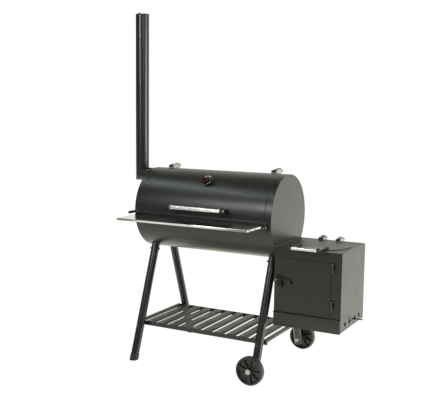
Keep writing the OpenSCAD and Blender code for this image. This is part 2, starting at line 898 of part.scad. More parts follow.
module fire_lid_hinge_knuckles() {
    half = 9;
    color("#b9b6ad") at_fire_hinges() difference() {
        union() {
            box([-16, 142.5, box_z1], [16, box_y, box_z1 + 2]);
            x_bar(10, -half, half, fire_pin_y, fire_pin_z);
            box([-half, fire_pin_y - 6, box_z1], [half, fire_pin_y + 6, fire_pin_z]);
        }
        x_bar(3, -30, 30, fire_pin_y, fire_pin_z);
    }
}

module fire_lid_hinge_arms() {
    z0 = box_z1 + gap + 3;
    color("#b9b6ad") at_fire_hinges() difference() {
        union() {
            for (side = [-1, 1]) {
                x0 = side > 0 ? 9.4 : -13;
                x_bar(7, x0, x0 + 3.6, fire_pin_y, fire_pin_z);
                box([x0, 112, z0], [x0 + 3.6, fire_pin_y, fire_pin_z + 3]);
            }
            box([-13, 110, z0], [13, 131, z0 + 3]);
        }
        x_bar(3 + run, -30, 30, fire_pin_y, fire_pin_z);
    }
}

module fire_lid_hinge_blocks() {
    z0 = box_z1 + gap + 6;
    color("#16150f") at_fire_hinges() box([-9.2, 113, z0], [9.2, 130, z0 + 10]);
}

fire_handle_y = -205;
fire_handle_z = box_z1 + 12;
fire_handle_half = 60;

module fire_lid_handle_tube() {
    color("#c9c7c0") difference() {
        x_bar(9, box_mid - fire_handle_half, box_mid + fire_handle_half, fire_handle_y, fire_handle_z);
        x_bar(7.5, box_mid - far, box_mid + far, fire_handle_y, fire_handle_z);
    }
}

module fire_lid_handle_arms() {
    z0 = box_z1 + gap + 3;
    color("#16150f") for (side = [-1, 1]) {
        x0 = side > 0 ? box_mid + fire_handle_half : box_mid - fire_handle_half - 11;
        spigot = side > 0 ? box_mid + fire_handle_half - 12 : box_mid - fire_handle_half;
        box([x0, fire_handle_y, z0], [x0 + 11, -85, z0 + 11]);
        x_bar(11, x0, x0 + 11, fire_handle_y, fire_handle_z);
        x_bar(7.5, spigot, spigot + 12, fire_handle_y, fire_handle_z);
    }
}

// ---- firebox door --------------------------------------------------------

door_y1 = -box_y - gap;
door_y0 = door_y1 - 2.5;
knuckle_r = 6.5;

module firebox_door() {
    color("#2d2b28") {
        box([door_x0, door_y0, door_z0], [door_x1, door_y1, door_z1]);
        // folded lips that locate the door in its opening
        difference() {
            box([door_x0 + 12, door_y1 - 1, door_z0 + 12], [door_x1 - 12, door_y1 + 5, door_z1 - 12]);
            box([door_x0 + 14, door_y1, door_z0 + 14], [door_x1 - 14, door_y1 + 6, door_z1 - 14]);
        }
    }
}

// One knuckle of a door hinge and the strap that carries it; the strap lies
// on the door's side of the pin, or on the wall's side
module door_knuckle(z0, z1, bore_r, moving) {
    x0 = moving ? door_x1 - 14 : door_pin_x - 3;
    x1 = moving ? door_pin_x : door_pin_x + 14;
    y0 = moving ? door_y0 - 2.5 : -box_y - 2.5;
    y1 = moving ? door_y0 : -box_y;
    color("#16150f") difference() {
        union() {
            z_bar(knuckle_r, z0, z1, door_pin_x, door_pin_y);
            box([x0, y0, z0], [x1, y1, z1]);
        }
        z_bar(bore_r, z0 - 1, z1 + 1, door_pin_x, door_pin_y);
    }
}

module door_fixed_knuckles() {
    for (z = door_knuckle_z) door_knuckle(z, z + 17 - gap, 3, false);
}

module door_moving_knuckles() {
    for (z = door_knuckle_z) door_knuckle(z + 17, z + 34, 3 + run, true);
}

latch_y0 = door_y0 - 5;
latch_y1 = door_y0 - 1.5;

// Outline of the latch, seen from the front and measured from its pivot: a bar
// that lies over the keeper and hooks down on the pivot's other side
latch_outline = [
    [-65, 24.2], [-60, 24.2], [-35, 19.2], [-12, 13.2], [3, 10], [8.5, 6.5],
    [10.6, 1.5], [10.2, -11], [16.6, -11], [17, 4], [13.5, 11.5], [7, 16],
    [-10, 19.6], [-34, 25.6], [-59, 33], [-65, 33.4]
];

module latch_arm() {
    color("#16150f") translate([latch_x, latch_y1, latch_z]) rotate([90, 0, 0])
        linear_extrude(latch_y1 - latch_y0) difference() {
            union() {
                polygon(latch_outline);
                circle(r = 7);
                translate([-3, 0]) square([6, 14]);
            }
            circle(r = bolt_r + run);
        }
}

knob_x = keeper_x + 21;
knob_z1 = keeper_z + 13;

module latch_knob() {
    color("#16150f") translate([knob_x, latch_y0 - 11.5, knob_z1 - 48])
        rotate_extrude() polygon([[0, 0], [8, 0], [11, 4], [11, 9], [5, 36], [4, 48], [0, 48]]);
    color("#16150f") box([knob_x - 3, latch_y0 - 13, knob_z1 - 2], [knob_x + 3, latch_y0, knob_z1 + 2]);
}

module latch_pivot_screw() {
    color("#5a5954") {
        y_bar(bolt_r, latch_y0 - 1, door_y0, latch_x, latch_z);
        y_bar(5, latch_y0 - 3, latch_y0 - gap, latch_x, latch_z);
        y_bar(5, latch_y1 + gap, door_y0, latch_x, latch_z);
    }
}

module latch_keeper() {
    color("#16150f") difference() {
        y_bar(keeper_r, latch_y0 + 0.7, -box_y, keeper_x, keeper_z);
        y_bar(bolt_r, latch_y0 - 5, -box_y + 5, keeper_x, keeper_z);
    }
}

module keeper_screw() {
    color("#c9c7c0") {
        y_bar(bolt_r, latch_y0, -box_y, keeper_x, keeper_z);
        y_bar(4.5, latch_y0 - 1.3, latch_y0 + 0.7, keeper_x, keeper_z);
    }
}

// ---- ash drawer and vent -------------------------------------------------

module ash_drawer() {
    x0 = box_x0 + 8;
    x1 = box_x1 - 8;
    z0 = box_z0 + sheet + 0.5;
    front_y = -box_y - gap;
    color("#2d2b28") {
        difference() {
            box([x0, front_y - 5, z0], [x1, box_y - 8, z0 + 11]);
            box([x0 + 1.5, front_y - 4, z0 + 1.5], [x1 - 1.5, box_y - 9.5, z0 + 20]);
        }
        difference() {
            box([box_x0 + 1, front_y - 6, box_z0 - 4], [box_x1 - 1, front_y, drawer_z1]);
            box([box_x0 + 3, front_y - 4, box_z0 - 2], [box_x1 - 3, front_y + 1, drawer_z1 - 2]);
        }
        box([box_x0 - 3, front_y - 8, drawer_z1 - 2], [box_x1 - 1, front_y, drawer_z1]);
    }
}

module vent_slider() {
    x1 = slider_x0 + 1.5;
    tab_y = 17;
    color("#8c8c88") {
        difference() {
            box([slider_x0, -122, vent_z - 14], [x1, 122, vent_z + 14]);
            for (y = vent_y) x_bar(vent_r, slider_x0 - 1, x1 + 1, y, vent_z);
        }
        box([slider_x0, tab_y, vent_z - 2.5], [tab_x1, tab_y + 12, vent_z - 0.5]);
    }
}

// ---- one line for each node ----------------------------------------------

place() barrel_shell();
place() left_end_cap();
place() right_end_cap();
place() barrel_hinge_knuckles();
place() hinge_pins();
place() chimney_pipe();
place() cap_pivot_screw();
place() cooking_grate_left();
place() cooking_grate_right();
place() shelf_brackets();
place() shelf_pivot_bolts();
place() leg_front_left();
place() leg_rear_left();
place() leg_front_right();
place() leg_rear_right();
place() leg_spigots();
place() frame_bolts();
place() foot_caps();
place() axle_bolts();
place() axle_spacers();
place() rack_front_rail();
place() rack_rear_rail();
place() rack_slats();
place() rack_end_slats();
place() rack_rivets();
place() firebox_body();
place() firebox_flange_bolts();
place() door_fixed_knuckles();
place() latch_keeper();
place() keeper_screw();
place() fire_grate();
place() fire_lid_hinge_knuckles();
place() side_handle();
place() barrel_lid();
place() lid_hinge_arms();
place() lid_hinge_blocks();
place() lid_handle_tube();
place() lid_handle_standoffs();
place() lid_handle_screws();
place() thermometer_case();
place() thermometer_dial();
place() thermometer_glass();
place() thermometer_nut();
place() thermometer_needle();
place() firebox_lid();
place() fire_lid_hinge_arms();
place() fire_lid_hinge_blocks();
place() fire_lid_handle_tube();
place() fire_lid_handle_arms();
place() firebox_door();
place() door_moving_knuckles();
place() latch_arm();
place() latch_knob();
place() latch_pivot_screw();
place() ash_drawer();
place() vent_slider();
place() chimney_cap();
place() front_shelf();
place() front_wheel();
place() rear_wheel();
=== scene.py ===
"""Looks of an offset smoker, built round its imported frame.

Places are given in metres from a point on the floor side of the barrel's middle,
AXIS_Z below its axis: X runs along the barrel towards the firebox, Y towards the
back, Z up. The floor itself lies at FLOOR_Z.
"""

import json
import logging
import math
from dataclasses import dataclass, field
from enum import Enum
from typing import Sequence

import bmesh
import bpy
from mathutils import Matrix, Vector

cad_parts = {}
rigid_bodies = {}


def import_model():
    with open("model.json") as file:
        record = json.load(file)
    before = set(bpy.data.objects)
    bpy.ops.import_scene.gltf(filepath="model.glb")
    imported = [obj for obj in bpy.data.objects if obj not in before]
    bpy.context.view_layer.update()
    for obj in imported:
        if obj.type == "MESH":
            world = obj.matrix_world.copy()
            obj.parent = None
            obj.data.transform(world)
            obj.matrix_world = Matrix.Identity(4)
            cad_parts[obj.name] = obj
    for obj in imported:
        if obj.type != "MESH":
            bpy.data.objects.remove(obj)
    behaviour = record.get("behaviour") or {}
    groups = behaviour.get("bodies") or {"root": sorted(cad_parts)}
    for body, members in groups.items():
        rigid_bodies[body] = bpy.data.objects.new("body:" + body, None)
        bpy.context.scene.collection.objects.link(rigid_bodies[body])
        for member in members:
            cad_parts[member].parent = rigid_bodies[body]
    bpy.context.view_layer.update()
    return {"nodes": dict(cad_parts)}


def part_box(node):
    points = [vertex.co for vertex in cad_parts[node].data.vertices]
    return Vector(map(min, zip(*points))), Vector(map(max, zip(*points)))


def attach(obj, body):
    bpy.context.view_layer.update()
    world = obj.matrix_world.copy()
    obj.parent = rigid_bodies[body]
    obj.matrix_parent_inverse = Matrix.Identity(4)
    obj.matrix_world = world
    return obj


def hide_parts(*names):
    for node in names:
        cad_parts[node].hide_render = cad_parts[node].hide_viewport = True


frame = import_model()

LOG = logging.getLogger("smoker")

RGB = tuple[float, float, float]
Spot = tuple[float, float, float]
Pair = tuple[float, float]
Socket = bpy.types.NodeSocket

AXIS_Z = 0.726


def _home() -> Vector:
    """Returns the frame's place of the point that places are counted from."""
    low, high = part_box("barrel_shell")
    return (Vector(low) + Vector(high)) / 2 - Vector((0.0, 0.0, AXIS_Z))


HOME = _home()
FLOOR_Z = -HOME.z


# ---------------------------------------------------------------- shader trees

WORN_PATCHES: Pair = (0.42, 0.62)
DUST_PATCHES: Pair = (0.4, 0.75)
FACING_UP: Pair = (0.55, 1.0)
BEND_GAIN = 6.0
MIDTONES: Pair = (0.3, 0.7)
BEAD_STEP = 1.15
DUST_TONE: RGB = (0.17, 0.16, 0.145)


class Nodes:
    """Adds nodes to one tree and joins their sockets."""

    def __init__(self, tree: bpy.types.NodeTree) -> None:
        """Keeps the tree that the nodes go to."""
        self.tree = tree

    def add(self, kind: str, values: dict | None = None, **settings: object) -> bpy.types.Node:
        """Adds one node.

        Args:
            kind: the node's type.
            values: values or sockets for its inputs, by name or by number.
            settings: the node's own settings.

        Returns:
            The new node.
        """
        node = self.tree.nodes.new(kind)
        for key, value in settings.items():
            setattr(node, key, value)
        for key, value in (values or {}).items():
            self.feed(node.inputs[key], value)
        return node

    def feed(self, target: Socket, value: object) -> None:
        """Gives an input its value, or joins an output to it."""
        if isinstance(value, Socket):
            self.tree.links.new(value, target)
        else:
            target.default_value = value

    def math(self, operation: str, first: object, second: object = 0.0) -> Socket:
        """Adds a Math node whose inputs are sockets or numbers, and returns its output."""
        return self.add("ShaderNodeMath", {0: first, 1: second}, operation=operation).outputs[0]

    def noise(self, detail: float, **values: object) -> Socket:
        """Adds a noise texture on the object's own coordinates, and returns its grey value."""
        coords = self.add("ShaderNodeTexCoord").outputs["Object"]
        return self.add("ShaderNodeTexNoise", {"Vector": coords, "Detail": detail, **values}).outputs["Fac"]

    def remap(self, value: Socket, source: Pair = (0.0, 1.0), target: Pair = (0.0, 1.0),
              kind: str = "LINEAR") -> Socket:
        """Maps one range of values to another, and returns the output."""
        return self.add("ShaderNodeMapRange", {"Value": value, "From Min": source[0], "From Max": source[1],
                                               "To Min": target[0], "To Max": target[1]},
                        interpolation_type=kind).outputs[0]

    def blend(self, mask: Socket, under: object, over: RGB) -> Socket:
        """Lays one colour over another by a mask, and returns the mixed colour."""
        under = under if isinstance(under, Socket) else (*under, 1.0)
        return self.add("ShaderNodeMix", {0: mask, 6: under, 7: (*over, 1.0)}, data_type="RGBA").outputs[2]


def _group(name: str, inputs: dict[str, float], outputs: dict[str, str]) -> tuple[Nodes, dict, dict]:
    """Starts a shader node group with named float inputs.

    Args:
        name: the group's name.
        inputs: each input's name and its usual value.
        outputs: each output's name and its socket type.

    Returns:
        The group's nodes, its input sockets by name and its output sockets by name.
    """
    tree = bpy.data.node_groups.new(name, "ShaderNodeTree")
    for key, value in inputs.items():
        socket = tree.interface.new_socket(key, in_out="INPUT", socket_type="NodeSocketFloat")
        socket.default_value = value
    for key, kind in outputs.items():
        tree.interface.new_socket(key, in_out="OUTPUT", socket_type=kind)
    nodes = Nodes(tree)
    start, end = nodes.add("NodeGroupInput"), nodes.add("NodeGroupOutput")
    return nodes, {s.name: s for s in start.outputs if s.name}, {s.name: s for s in end.inputs if s.name}


class Effects:
    """Shader groups that more than one finish uses, each built once."""

    def __init__(self) -> None:
        """Builds the groups."""
        self.edge = self._edge_wear()
        self.grain = self._brushed_grain()
        self.skin = self._sprayed_skin()
        self.dust = self._settled_dust()

    @staticmethod
    def _edge_wear() -> bpy.types.NodeTree:
        """Returns a group that gives a rounded normal and a mask on worn edges."""
        n, i, o = _group("edge_wear", {"Reach": 0.0012, "Amount": 1.0, "Patch Scale": 60.0},
                         {"Mask": "NodeSocketFloat", "Normal": "NodeSocketVector"})
        bevel = n.add("ShaderNodeBevel", {"Radius": i["Reach"]}, samples=4).outputs[0]
        flat = n.add("ShaderNodeNewGeometry").outputs["Normal"]
        dot = n.add("ShaderNodeVectorMath", {0: bevel, 1: flat}, operation="DOT_PRODUCT")
        bend = n.math("SUBTRACT", 1.0, dot.outputs["Value"])
        patch = n.remap(n.noise(3.0, Scale=i["Patch Scale"]), WORN_PATCHES)
        worn = n.math("MULTIPLY", n.math("MULTIPLY", bend, BEND_GAIN), patch)
        mask = n.add("ShaderNodeClamp", {0: n.math("MULTIPLY", worn, i["Amount"])})
        n.feed(o["Mask"], mask.outputs[0])
        n.feed(o["Normal"], bevel)
        return n.tree

    @staticmethod
    def _brushed_grain() -> bpy.types.NodeTree:
        """Returns a group of fine lines along X, as a brushing belt leaves them."""
        n, i, o = _group("brushed_grain", {"Along": 6.0, "Across": 900.0},
                         {"Lines": "NodeSocketFloat", "Smudge": "NodeSocketFloat"})
        coords = n.add("ShaderNodeTexCoord").outputs["Object"]
        size = n.add("ShaderNodeCombineXYZ", {0: i["Along"], 1: i["Across"], 2: i["Across"]}).outputs[0]
        scale = n.add("ShaderNodeVectorMath", {0: coords, 1: size}, operation="MULTIPLY").outputs[0]
        lines = n.add("ShaderNodeTexNoise", {"Vector": scale, "Scale": 1.0, "Detail": 4.0, "Roughness": 0.6})
        n.feed(o["Lines"], lines.outputs["Fac"])
        n.feed(o["Smudge"], n.noise(3.0, Scale=9.0))
        return n.tree

    @staticmethod
    def _sprayed_skin() -> bpy.types.NodeTree:
        """Returns a group of the fine pebbled skin and broad unevenness of sprayed paint."""
        n, i, o = _group("sprayed_skin", {"Pebble Scale": 900.0, "Drift Scale": 7.0},
                         {"Pebble": "NodeSocketFloat", "Drift": "NodeSocketFloat"})
        for out, detail in (("Pebble", 2.0), ("Drift", 5.0)):
            n.feed(o[out], n.noise(detail, Scale=i[f"{out} Scale"], Roughness=0.55))
        return n.tree

    @staticmethod
    def _settled_dust() -> bpy.types.NodeTree:
        """Returns a group that masks dust on faces that look up."""
        n, i, o = _group("settled_dust", {"Amount": 0.2, "Patch Scale": 22.0}, {"Mask": "NodeSocketFloat"})
        normal = n.add("ShaderNodeNewGeometry").outputs["Normal"]
        parts = n.add("ShaderNodeSeparateXYZ", {0: normal})
        up = n.remap(parts.outputs["Z"], FACING_UP)
        patch = n.remap(n.noise(6.0, Scale=i["Patch Scale"], Roughness=0.65), DUST_PATCHES)
        n.feed(o["Mask"], n.math("MULTIPLY", n.math("MULTIPLY", up, patch), i["Amount"]))
        return n.tree


EFFECTS = Effects()
_MADE: dict[str, bpy.types.Material] = {}


def _start_material(name: str) -> tuple[bpy.types.Material, Nodes, bpy.types.Node]:
    """Returns a new material, its nodes and its Principled BSDF."""
    material = bpy.data.materials.new(name)
    material.use_nodes = True
    shader = next(n for n in material.node_tree.nodes if n.type == "BSDF_PRINCIPLED")
    return material, Nodes(material.node_tree), shader


def _place_group(n: Nodes, tree: bpy.types.NodeTree, **values: float) -> bpy.types.Node:
    """Puts an effect into a material with its own values; names take spaces for underscores."""
    return n.add("ShaderNodeGroup", {key.replace("_", " "): value for key, value in values.items()}, node_tree=tree)


def _finish_surface(n: Nodes, shader: bpy.types.Node, sheen: tuple[Socket, float, float],
                    relief: tuple[Socket, float, float], normal: Socket) -> None:
    """Gives a shader its roughness and its fine bumps.

    Args:
        n: the material's nodes.
        shader: its Principled BSDF.
        sheen: a mask, then the roughness at its low and at its high end.
        relief: a height, then the bumps' strength and depth.
        normal: the normal that the bumps stand on.
    """
    n.feed(shader.inputs["Roughness"], n.remap(sheen[0], MIDTONES, sheen[1:]))
    bump = n.add("ShaderNodeBump", {"Height": relief[0], "Strength": relief[1], "Distance": relief[2],
                                    "Normal": normal})
    n.feed(shader.inputs["Normal"], bump.outputs[0])


class Finish:
    """A finish that makes its material once."""

    name: str

    def material(self) -> bpy.types.Material:
        """Returns this finish's material, made the first time it is asked for."""
        if self.name not in _MADE:
            _MADE[self.name] = self.make()
        return _MADE[self.name]

    def make(self) -> bpy.types.Material:
        """Builds the material."""
        raise NotImplementedError


@dataclass(frozen=True)
class Paint(Finish):
    """Satin paint over sheet steel, with a pebbled skin, dust and slightly rubbed edges."""

    name: str
    colour: RGB
    rough: float = 0.42
    drift: float = 0.08
    pebble: float = 0.000015
    worn: RGB = (0.16, 0.155, 0.14)
    wear: float = 0.5
    dust: float = 0.12
    reach: float = 0.0012

    def make(self) -> bpy.types.Material:
        """Builds the material."""
        material, n, shader = _start_material(self.name)
        edge = _place_group(n, EFFECTS.edge, Reach=self.reach, Amount=self.wear)
        skin = _place_group(n, EFFECTS.skin)
        dust = _place_group(n, EFFECTS.dust, Amount=self.dust)
        dusty = n.blend(dust.outputs["Mask"], self.colour, DUST_TONE)
        n.feed(shader.inputs["Base Color"], n.blend(edge.outputs["Mask"], dusty, self.worn))
        _finish_surface(n, shader, (skin.outputs["Drift"], self.rough - self.drift, self.rough + self.drift),
                        (skin.outputs["Pebble"], 0.35, self.pebble), edge.outputs["Normal"])
        return material


@dataclass(frozen=True)
class Steel(Finish):
    """Bare or plated steel with fine lines from brushing."""

    name: str
    colour: RGB = (0.62, 0.61, 0.585)
    rough: float = 0.26
    lines: float = 0.12
    across: float = 900.0
    along: float = 6.0
    reach: float = 0.0006
    metal: float = 1.0
    bump: float = 0.12

    def make(self) -> bpy.types.Material:
        """Builds the material."""
        material, n, shader = _start_material(self.name)
        shader.inputs["Metallic"].default_value = self.metal
        grain = _place_group(n, EFFECTS.grain, Across=self.across, Along=self.along)
        edge = _place_group(n, EFFECTS.edge, Reach=self.reach, Amount=0.6)
        dull = tuple(c * 0.8 for c in self.colour)
        smudged = n.blend(grain.outputs["Smudge"], self.colour, dull)
        bright = tuple(min(1.0, c * 1.25) for c in self.colour)
        n.feed(shader.inputs["Base Color"], n.blend(edge.outputs["Mask"], smudged, bright))
        _finish_surface(n, shader, (grain.outputs["Lines"], self.rough - self.lines, self.rough + self.lines),
                        (grain.outputs["Lines"], self.bump, 0.00005), edge.outputs["Normal"])
        return material


@dataclass(frozen=True)
class Plastic(Finish):
    """Moulded plastic with a fine even texture."""

    name: str
    colour: RGB
    rough: float = 0.45
    texture: float = 0.00006
    scale: float = 1400.0
    scuff: RGB = (0.09, 0.09, 0.085)
    wear: float = 0.5

    def make(self) -> bpy.types.Material:
        """Builds the material."""
        material, n, shader = _start_material(self.name)
        skin = _place_group(n, EFFECTS.skin, Pebble_Scale=self.scale, Drift_Scale=14.0)
        edge = _place_group(n, EFFECTS.edge, Reach=0.0009, Amount=self.wear)
        n.feed(shader.inputs["Base Color"], n.blend(edge.outputs["Mask"], self.colour, self.scuff))
        _finish_surface(n, shader, (skin.outputs["Drift"], self.rough - 0.06, self.rough + 0.08),
                        (skin.outputs["Pebble"], 0.4, self.texture), edge.outputs["Normal"])
        return material


@dataclass(frozen=True)
class Print(Finish):
    """Printed ink on the dial, with a faint speckle."""

    name: str
    colour: RGB
    rough: float = 0.5

    def make(self) -> bpy.types.Material:
        """Builds the material."""
        material, n, shader = _start_material(self.name)
        skin = _place_group(n, EFFECTS.skin, Pebble_Scale=2600.0, Drift_Scale=60.0)
        faded = tuple(c * 0.82 for c in self.colour)
        n.feed(shader.inputs["Base Color"], n.blend(skin.outputs["Pebble"], self.colour, faded))
        shader.inputs["Roughness"].default_value = self.rough
        shader.inputs["Specular IOR Level"].default_value = 0.15
        return material


@dataclass(frozen=True)
class Pane(Finish):
    """Clear flat glass."""

    name: str

    def make(self) -> bpy.types.Material:
        """Builds the material."""
        material, n, shader = _start_material(self.name)
        shader.inputs["Base Color"].default_value = (0.01, 0.01, 0.01, 1.0)
        shader.inputs["Alpha"].default_value = 0.12
        skin = _place_group(n, EFFECTS.skin, Drift_Scale=90.0)
        n.feed(shader.inputs["Roughness"], n.remap(skin.outputs["Drift"], target=(0.02, 0.08)))
        return material


class Finishes(Enum):
    """Every finish on the smoker."""

    BODY = Paint("satin_black_paint", (0.016, 0.0153, 0.0138), rough=0.34, drift=0.03, wear=0.25, dust=0.04,
                 pebble=0.000006)
    # A darker, warmer copy of the barrel's satin black paint for the firebox: the darkening is painted shade for its
    # dim front.
    BODY_SHADED = Paint("satin_black_paint_firebox_shaded", (0.0135, 0.0125, 0.0105), rough=0.42, drift=0.03, wear=0.3,
                      dust=0.08, pebble=0.000006)
    TUBE = Paint("black_tube_paint", (0.012, 0.0118, 0.0112), rough=0.3, drift=0.03, wear=0.0, dust=0.03,
                 pebble=0.000002, reach=0.0)
    SLAT = Paint("black_slat_paint", (0.026, 0.022, 0.0165), rough=0.46, wear=0.5, dust=0.2)
    FITTING = Paint("black_fitting_coat", (0.008, 0.008, 0.0075), rough=0.32, wear=0.35, dust=0.02)
    WELD = Paint("painted_weld", (0.03, 0.028, 0.025), rough=0.3, wear=1.2, dust=0.0)
    STAINLESS = Steel("brushed_stainless", (0.7, 0.685, 0.68), rough=0.24, lines=0.03, across=2600.0, along=40.0,
                      bump=0.02)
    SHELF = Steel("shelf_stainless", (0.66, 0.67, 0.65), rough=0.12, lines=0.01, across=1600.0, along=20.0, bump=0.0,
                  reach=0.0)
    ZINC = Steel("bright_zinc", (0.5, 0.485, 0.44), rough=0.45, metal=0.45)
    DARK_STEEL = Steel("blackened_steel", (0.1, 0.098, 0.092), rough=0.4)
    ROD = Steel("grate_rod_steel", (0.42, 0.41, 0.395), rough=0.36)
    CAST = Paint("cast_iron", (0.035, 0.033, 0.031), rough=0.68, pebble=0.0004, wear=0.6, dust=0.4)
    WHEEL = Plastic("wheel_plastic", (0.017, 0.0168, 0.0162), rough=0.4)
    FOOT = Plastic("foot_plastic", (0.012, 0.012, 0.0115), rough=0.5)
    KNOB = Plastic("knob_plastic", (0.011, 0.011, 0.0105), rough=0.26)
    BEZEL = Plastic("bezel_plastic", (0.007, 0.007, 0.007), rough=0.16, texture=0.00001)
    DIAL = Print("dial_black", (0.008, 0.008, 0.008), rough=0.7)
    INK_WHITE = Print("dial_white", (0.92, 0.92, 0.92))
    INK_GREY = Print("dial_grey", (0.3, 0.3, 0.31))
    INK_PINK = Print("dial_pink", (0.34, 0.07, 0.09))
    NEEDLE = Print("needle_red", (0.5, 0.02, 0.04), rough=0.35)
    GLASS = Pane("dial_glass")

    def material(self) -> bpy.types.Material:
        """Returns the finish's material."""
        return self.value.material()


# ------------------------------------------------------------------- mesh forms


def turned_to(direction: Vector, place: Vector) -> Matrix:
    """Returns a matrix whose Z runs along direction and whose origin is at place."""
    return Matrix.Translation(place) @ direction.to_track_quat("Z", "Y").to_matrix().to_4x4()


def circle(sides: int) -> list[Pair]:
    """Returns the cosine and sine of evenly spaced angles round a whole turn."""
    return [(math.cos(math.tau * k / sides), math.sin(math.tau * k / sides)) for k in range(sides)]


class Form:
    """A mesh in the making."""

    def __init__(self) -> None:
        """Starts empty."""
        self.bm = bmesh.new()

    def rings(self, rings: Sequence[Sequence[Vector]], closed: bool = False) -> "Form":
        """Joins rings of points with quads.

        Args:
            rings: rings of equal length, in order.
            closed: whether the last ring joins the first; if not, both get a lid.

        Returns:
            This form.
        """
        rows = [[self.bm.verts.new(p) for p in ring] for ring in rings]
        count = len(rows[0])
        pairs = list(zip(rows, rows[1:])) + ([(rows[-1], rows[0])] if closed else [])
        for a, b in pairs:
            for k in range(count):
                m = (k + 1) % count
                self.bm.faces.new((a[k], a[m], b[m], b[k]))
        if not closed:
            self.bm.faces.new(rows[0])
            self.bm.faces.new(rows[-1])
        return self

    def box(self, low: Spot, high: Spot, matrix: Matrix = Matrix()) -> "Form":
        """Adds a box between two corners."""
        corners = ((low[0], low[1]), (high[0], low[1]), (high[0], high[1]), (low[0], high[1]))
        return self.rings([[matrix @ Vector((x, y, z)) for x, y in corners] for z in (low[2], high[2])])

    def prism(self, outline: Sequence[Pair], depth: float, matrix: Matrix) -> "Form":
        """Adds an outline drawn in the matrix's XY plane, made solid along its Z."""
        return self.rings([[matrix @ Vector((u, v, w)) for u, v in outline] for w in (0.0, depth)])

    def lathe(self, profile: Sequence[Pair], matrix: Matrix, sides: int = 48, closed: bool = False) -> "Form":
        """Turns a profile of (radius, height) points round the matrix's Z."""
        rings = [[matrix @ Vector((r * c, r * s, h)) for c, s in circle(sides)] for r, h in profile]
        return self.rings(rings, closed=closed)

    def sweep(self, path: Sequence[Vector], radius: float | Sequence[float], sides: int = 20,
              wide: float = 1.0) -> "Form":
        """Sweeps a round or flattened bar along a path.

        Args:
            path: the points of its centre line.
            radius: one radius, or one for each point.
            sides: corners of its section.
            wide: how much wider than high the section is.

        Returns:
            This form.
        """
        radii = [radius] * len(path) if isinstance(radius, (int, float)) else radius
        rings, up = [], None
        for k, p in enumerate(path):
            ahead = (path[min(k + 1, len(path) - 1)] - path[max(k - 1, 0)]).normalized()
            if up is None:
                up = ahead.orthogonal().normalized()
            up = (up - ahead * up.dot(ahead)).normalized()
            side = ahead.cross(up)
            rings.append([p + (side * c * wide + up * s) * radii[k] for c, s in circle(sides)])
        return self.rings(rings)

    def cells(self, rows: Sequence[float], columns: Sequence[float], point, thick: float,
              absent=lambda r, c: False, wraps: bool = False) -> "Form":
        """Adds a sheet of cells with a wall thickness, some of them cut out.

        Args:
            rows: values of the first parameter.
            columns: values of the second parameter.
            point: gives the place for a row value, a column value and a depth.
            thick: thickness of the sheet.
            absent: says which cells, by their middle values, are cut out.
            wraps: whether the last column joins the first.

        Returns:
            This form.
        """
        verts: dict[tuple[int, int, int], bmesh.types.BMVert] = {}
        width = len(columns) - (1 if wraps else 0)

        def vert(r: int, c: int, s: int) -> bmesh.types.BMVert:
            key = (r, c % width if wraps else c, s)
            if key not in verts:
                verts[key] = self.bm.verts.new(point(rows[r], columns[key[1]], thick * s))
            return verts[key]

        here = {(r, c) for r in range(len(rows) - 1) for c in range(len(columns) - 1)
                if not absent((rows[r] + rows[r + 1]) / 2, (columns[c] + columns[c + 1]) / 2)}
        for r, c in here:
            corners = ((r, c), (r, c + 1), (r + 1, c + 1), (r + 1, c))
            self.bm.faces.new([vert(a, b, 0) for a, b in corners])
            self.bm.faces.new([vert(a, b, 1) for a, b in reversed(corners)])
            for (dr, dc), (p, q) in (((-1, 0), (0, 1)), ((0, 1), (1, 2)), ((1, 0), (2, 3)), ((0, -1), (3, 0))):
                other = (r + dr, (c + dc) % (len(columns) - 1) if wraps else c + dc)
                if other not in here:
                    a, b = corners[p], corners[q]
                    self.bm.faces.new((vert(*b, 0), vert(*a, 0), vert(*a, 1), vert(*b, 1)))
        return self

    def soften(self, width: float, segments: int = 2, over: float = 30.0) -> "Form":
        """Rounds the edges that are sharper than an angle in degrees."""
        self.bm.normal_update()
        sharp = [e for e in self.bm.edges if len(e.link_faces) == 2
                 and e.calc_face_angle(0.0) > math.radians(over)]
        bmesh.ops.bevel(self.bm, geom=sharp, offset=width, segments=segments, profile=0.5,
                        affect="EDGES", clamp_overlap=True)
        return self

    def take(self, mesh: bpy.types.Mesh) -> "Form":
        """Adds a mesh that already stands in the frame."""
        mesh.transform(Matrix.Translation(-HOME))
        self.bm.from_mesh(mesh)
        return self

    def piece(self, name: str, finish: Finishes, body: str, node: str, smooth: float = 32.0) -> None:
        """Adds the form to the scene, in the place of a node."""
        add_piece(self.mesh(name, finish, smooth), body, (node,))

    def trim(self, name: str, finish: Finishes, body: str, slot: str, smooth: float = 32.0) -> None:
        """Adds the form to the scene as a piece that stands for no node."""
        add_piece(self.mesh(name, finish, smooth), body)

    def mesh(self, name: str, finish: Finishes, smooth: float = 32.0) -> bpy.types.Mesh:
        """Returns the form as a mesh in the frame, with faces outwards and one finish."""
        bmesh.ops.recalc_face_normals(self.bm, faces=self.bm.faces)
        bmesh.ops.translate(self.bm, verts=self.bm.verts, vec=HOME)
        mesh = bpy.data.meshes.new(name)
        self.bm.to_mesh(mesh)
        self.bm.free()
        mesh.materials.append(finish.material())
        shade(mesh, smooth)
        return mesh


def shade(mesh: bpy.types.Mesh, smooth: float) -> None:
    """Shades a mesh smooth, apart from edges sharper than an angle in degrees."""
    mesh.polygons.foreach_set("use_smooth", [True] * len(mesh.polygons))
    mesh.set_sharp_from_angle(angle=math.radians(smooth))


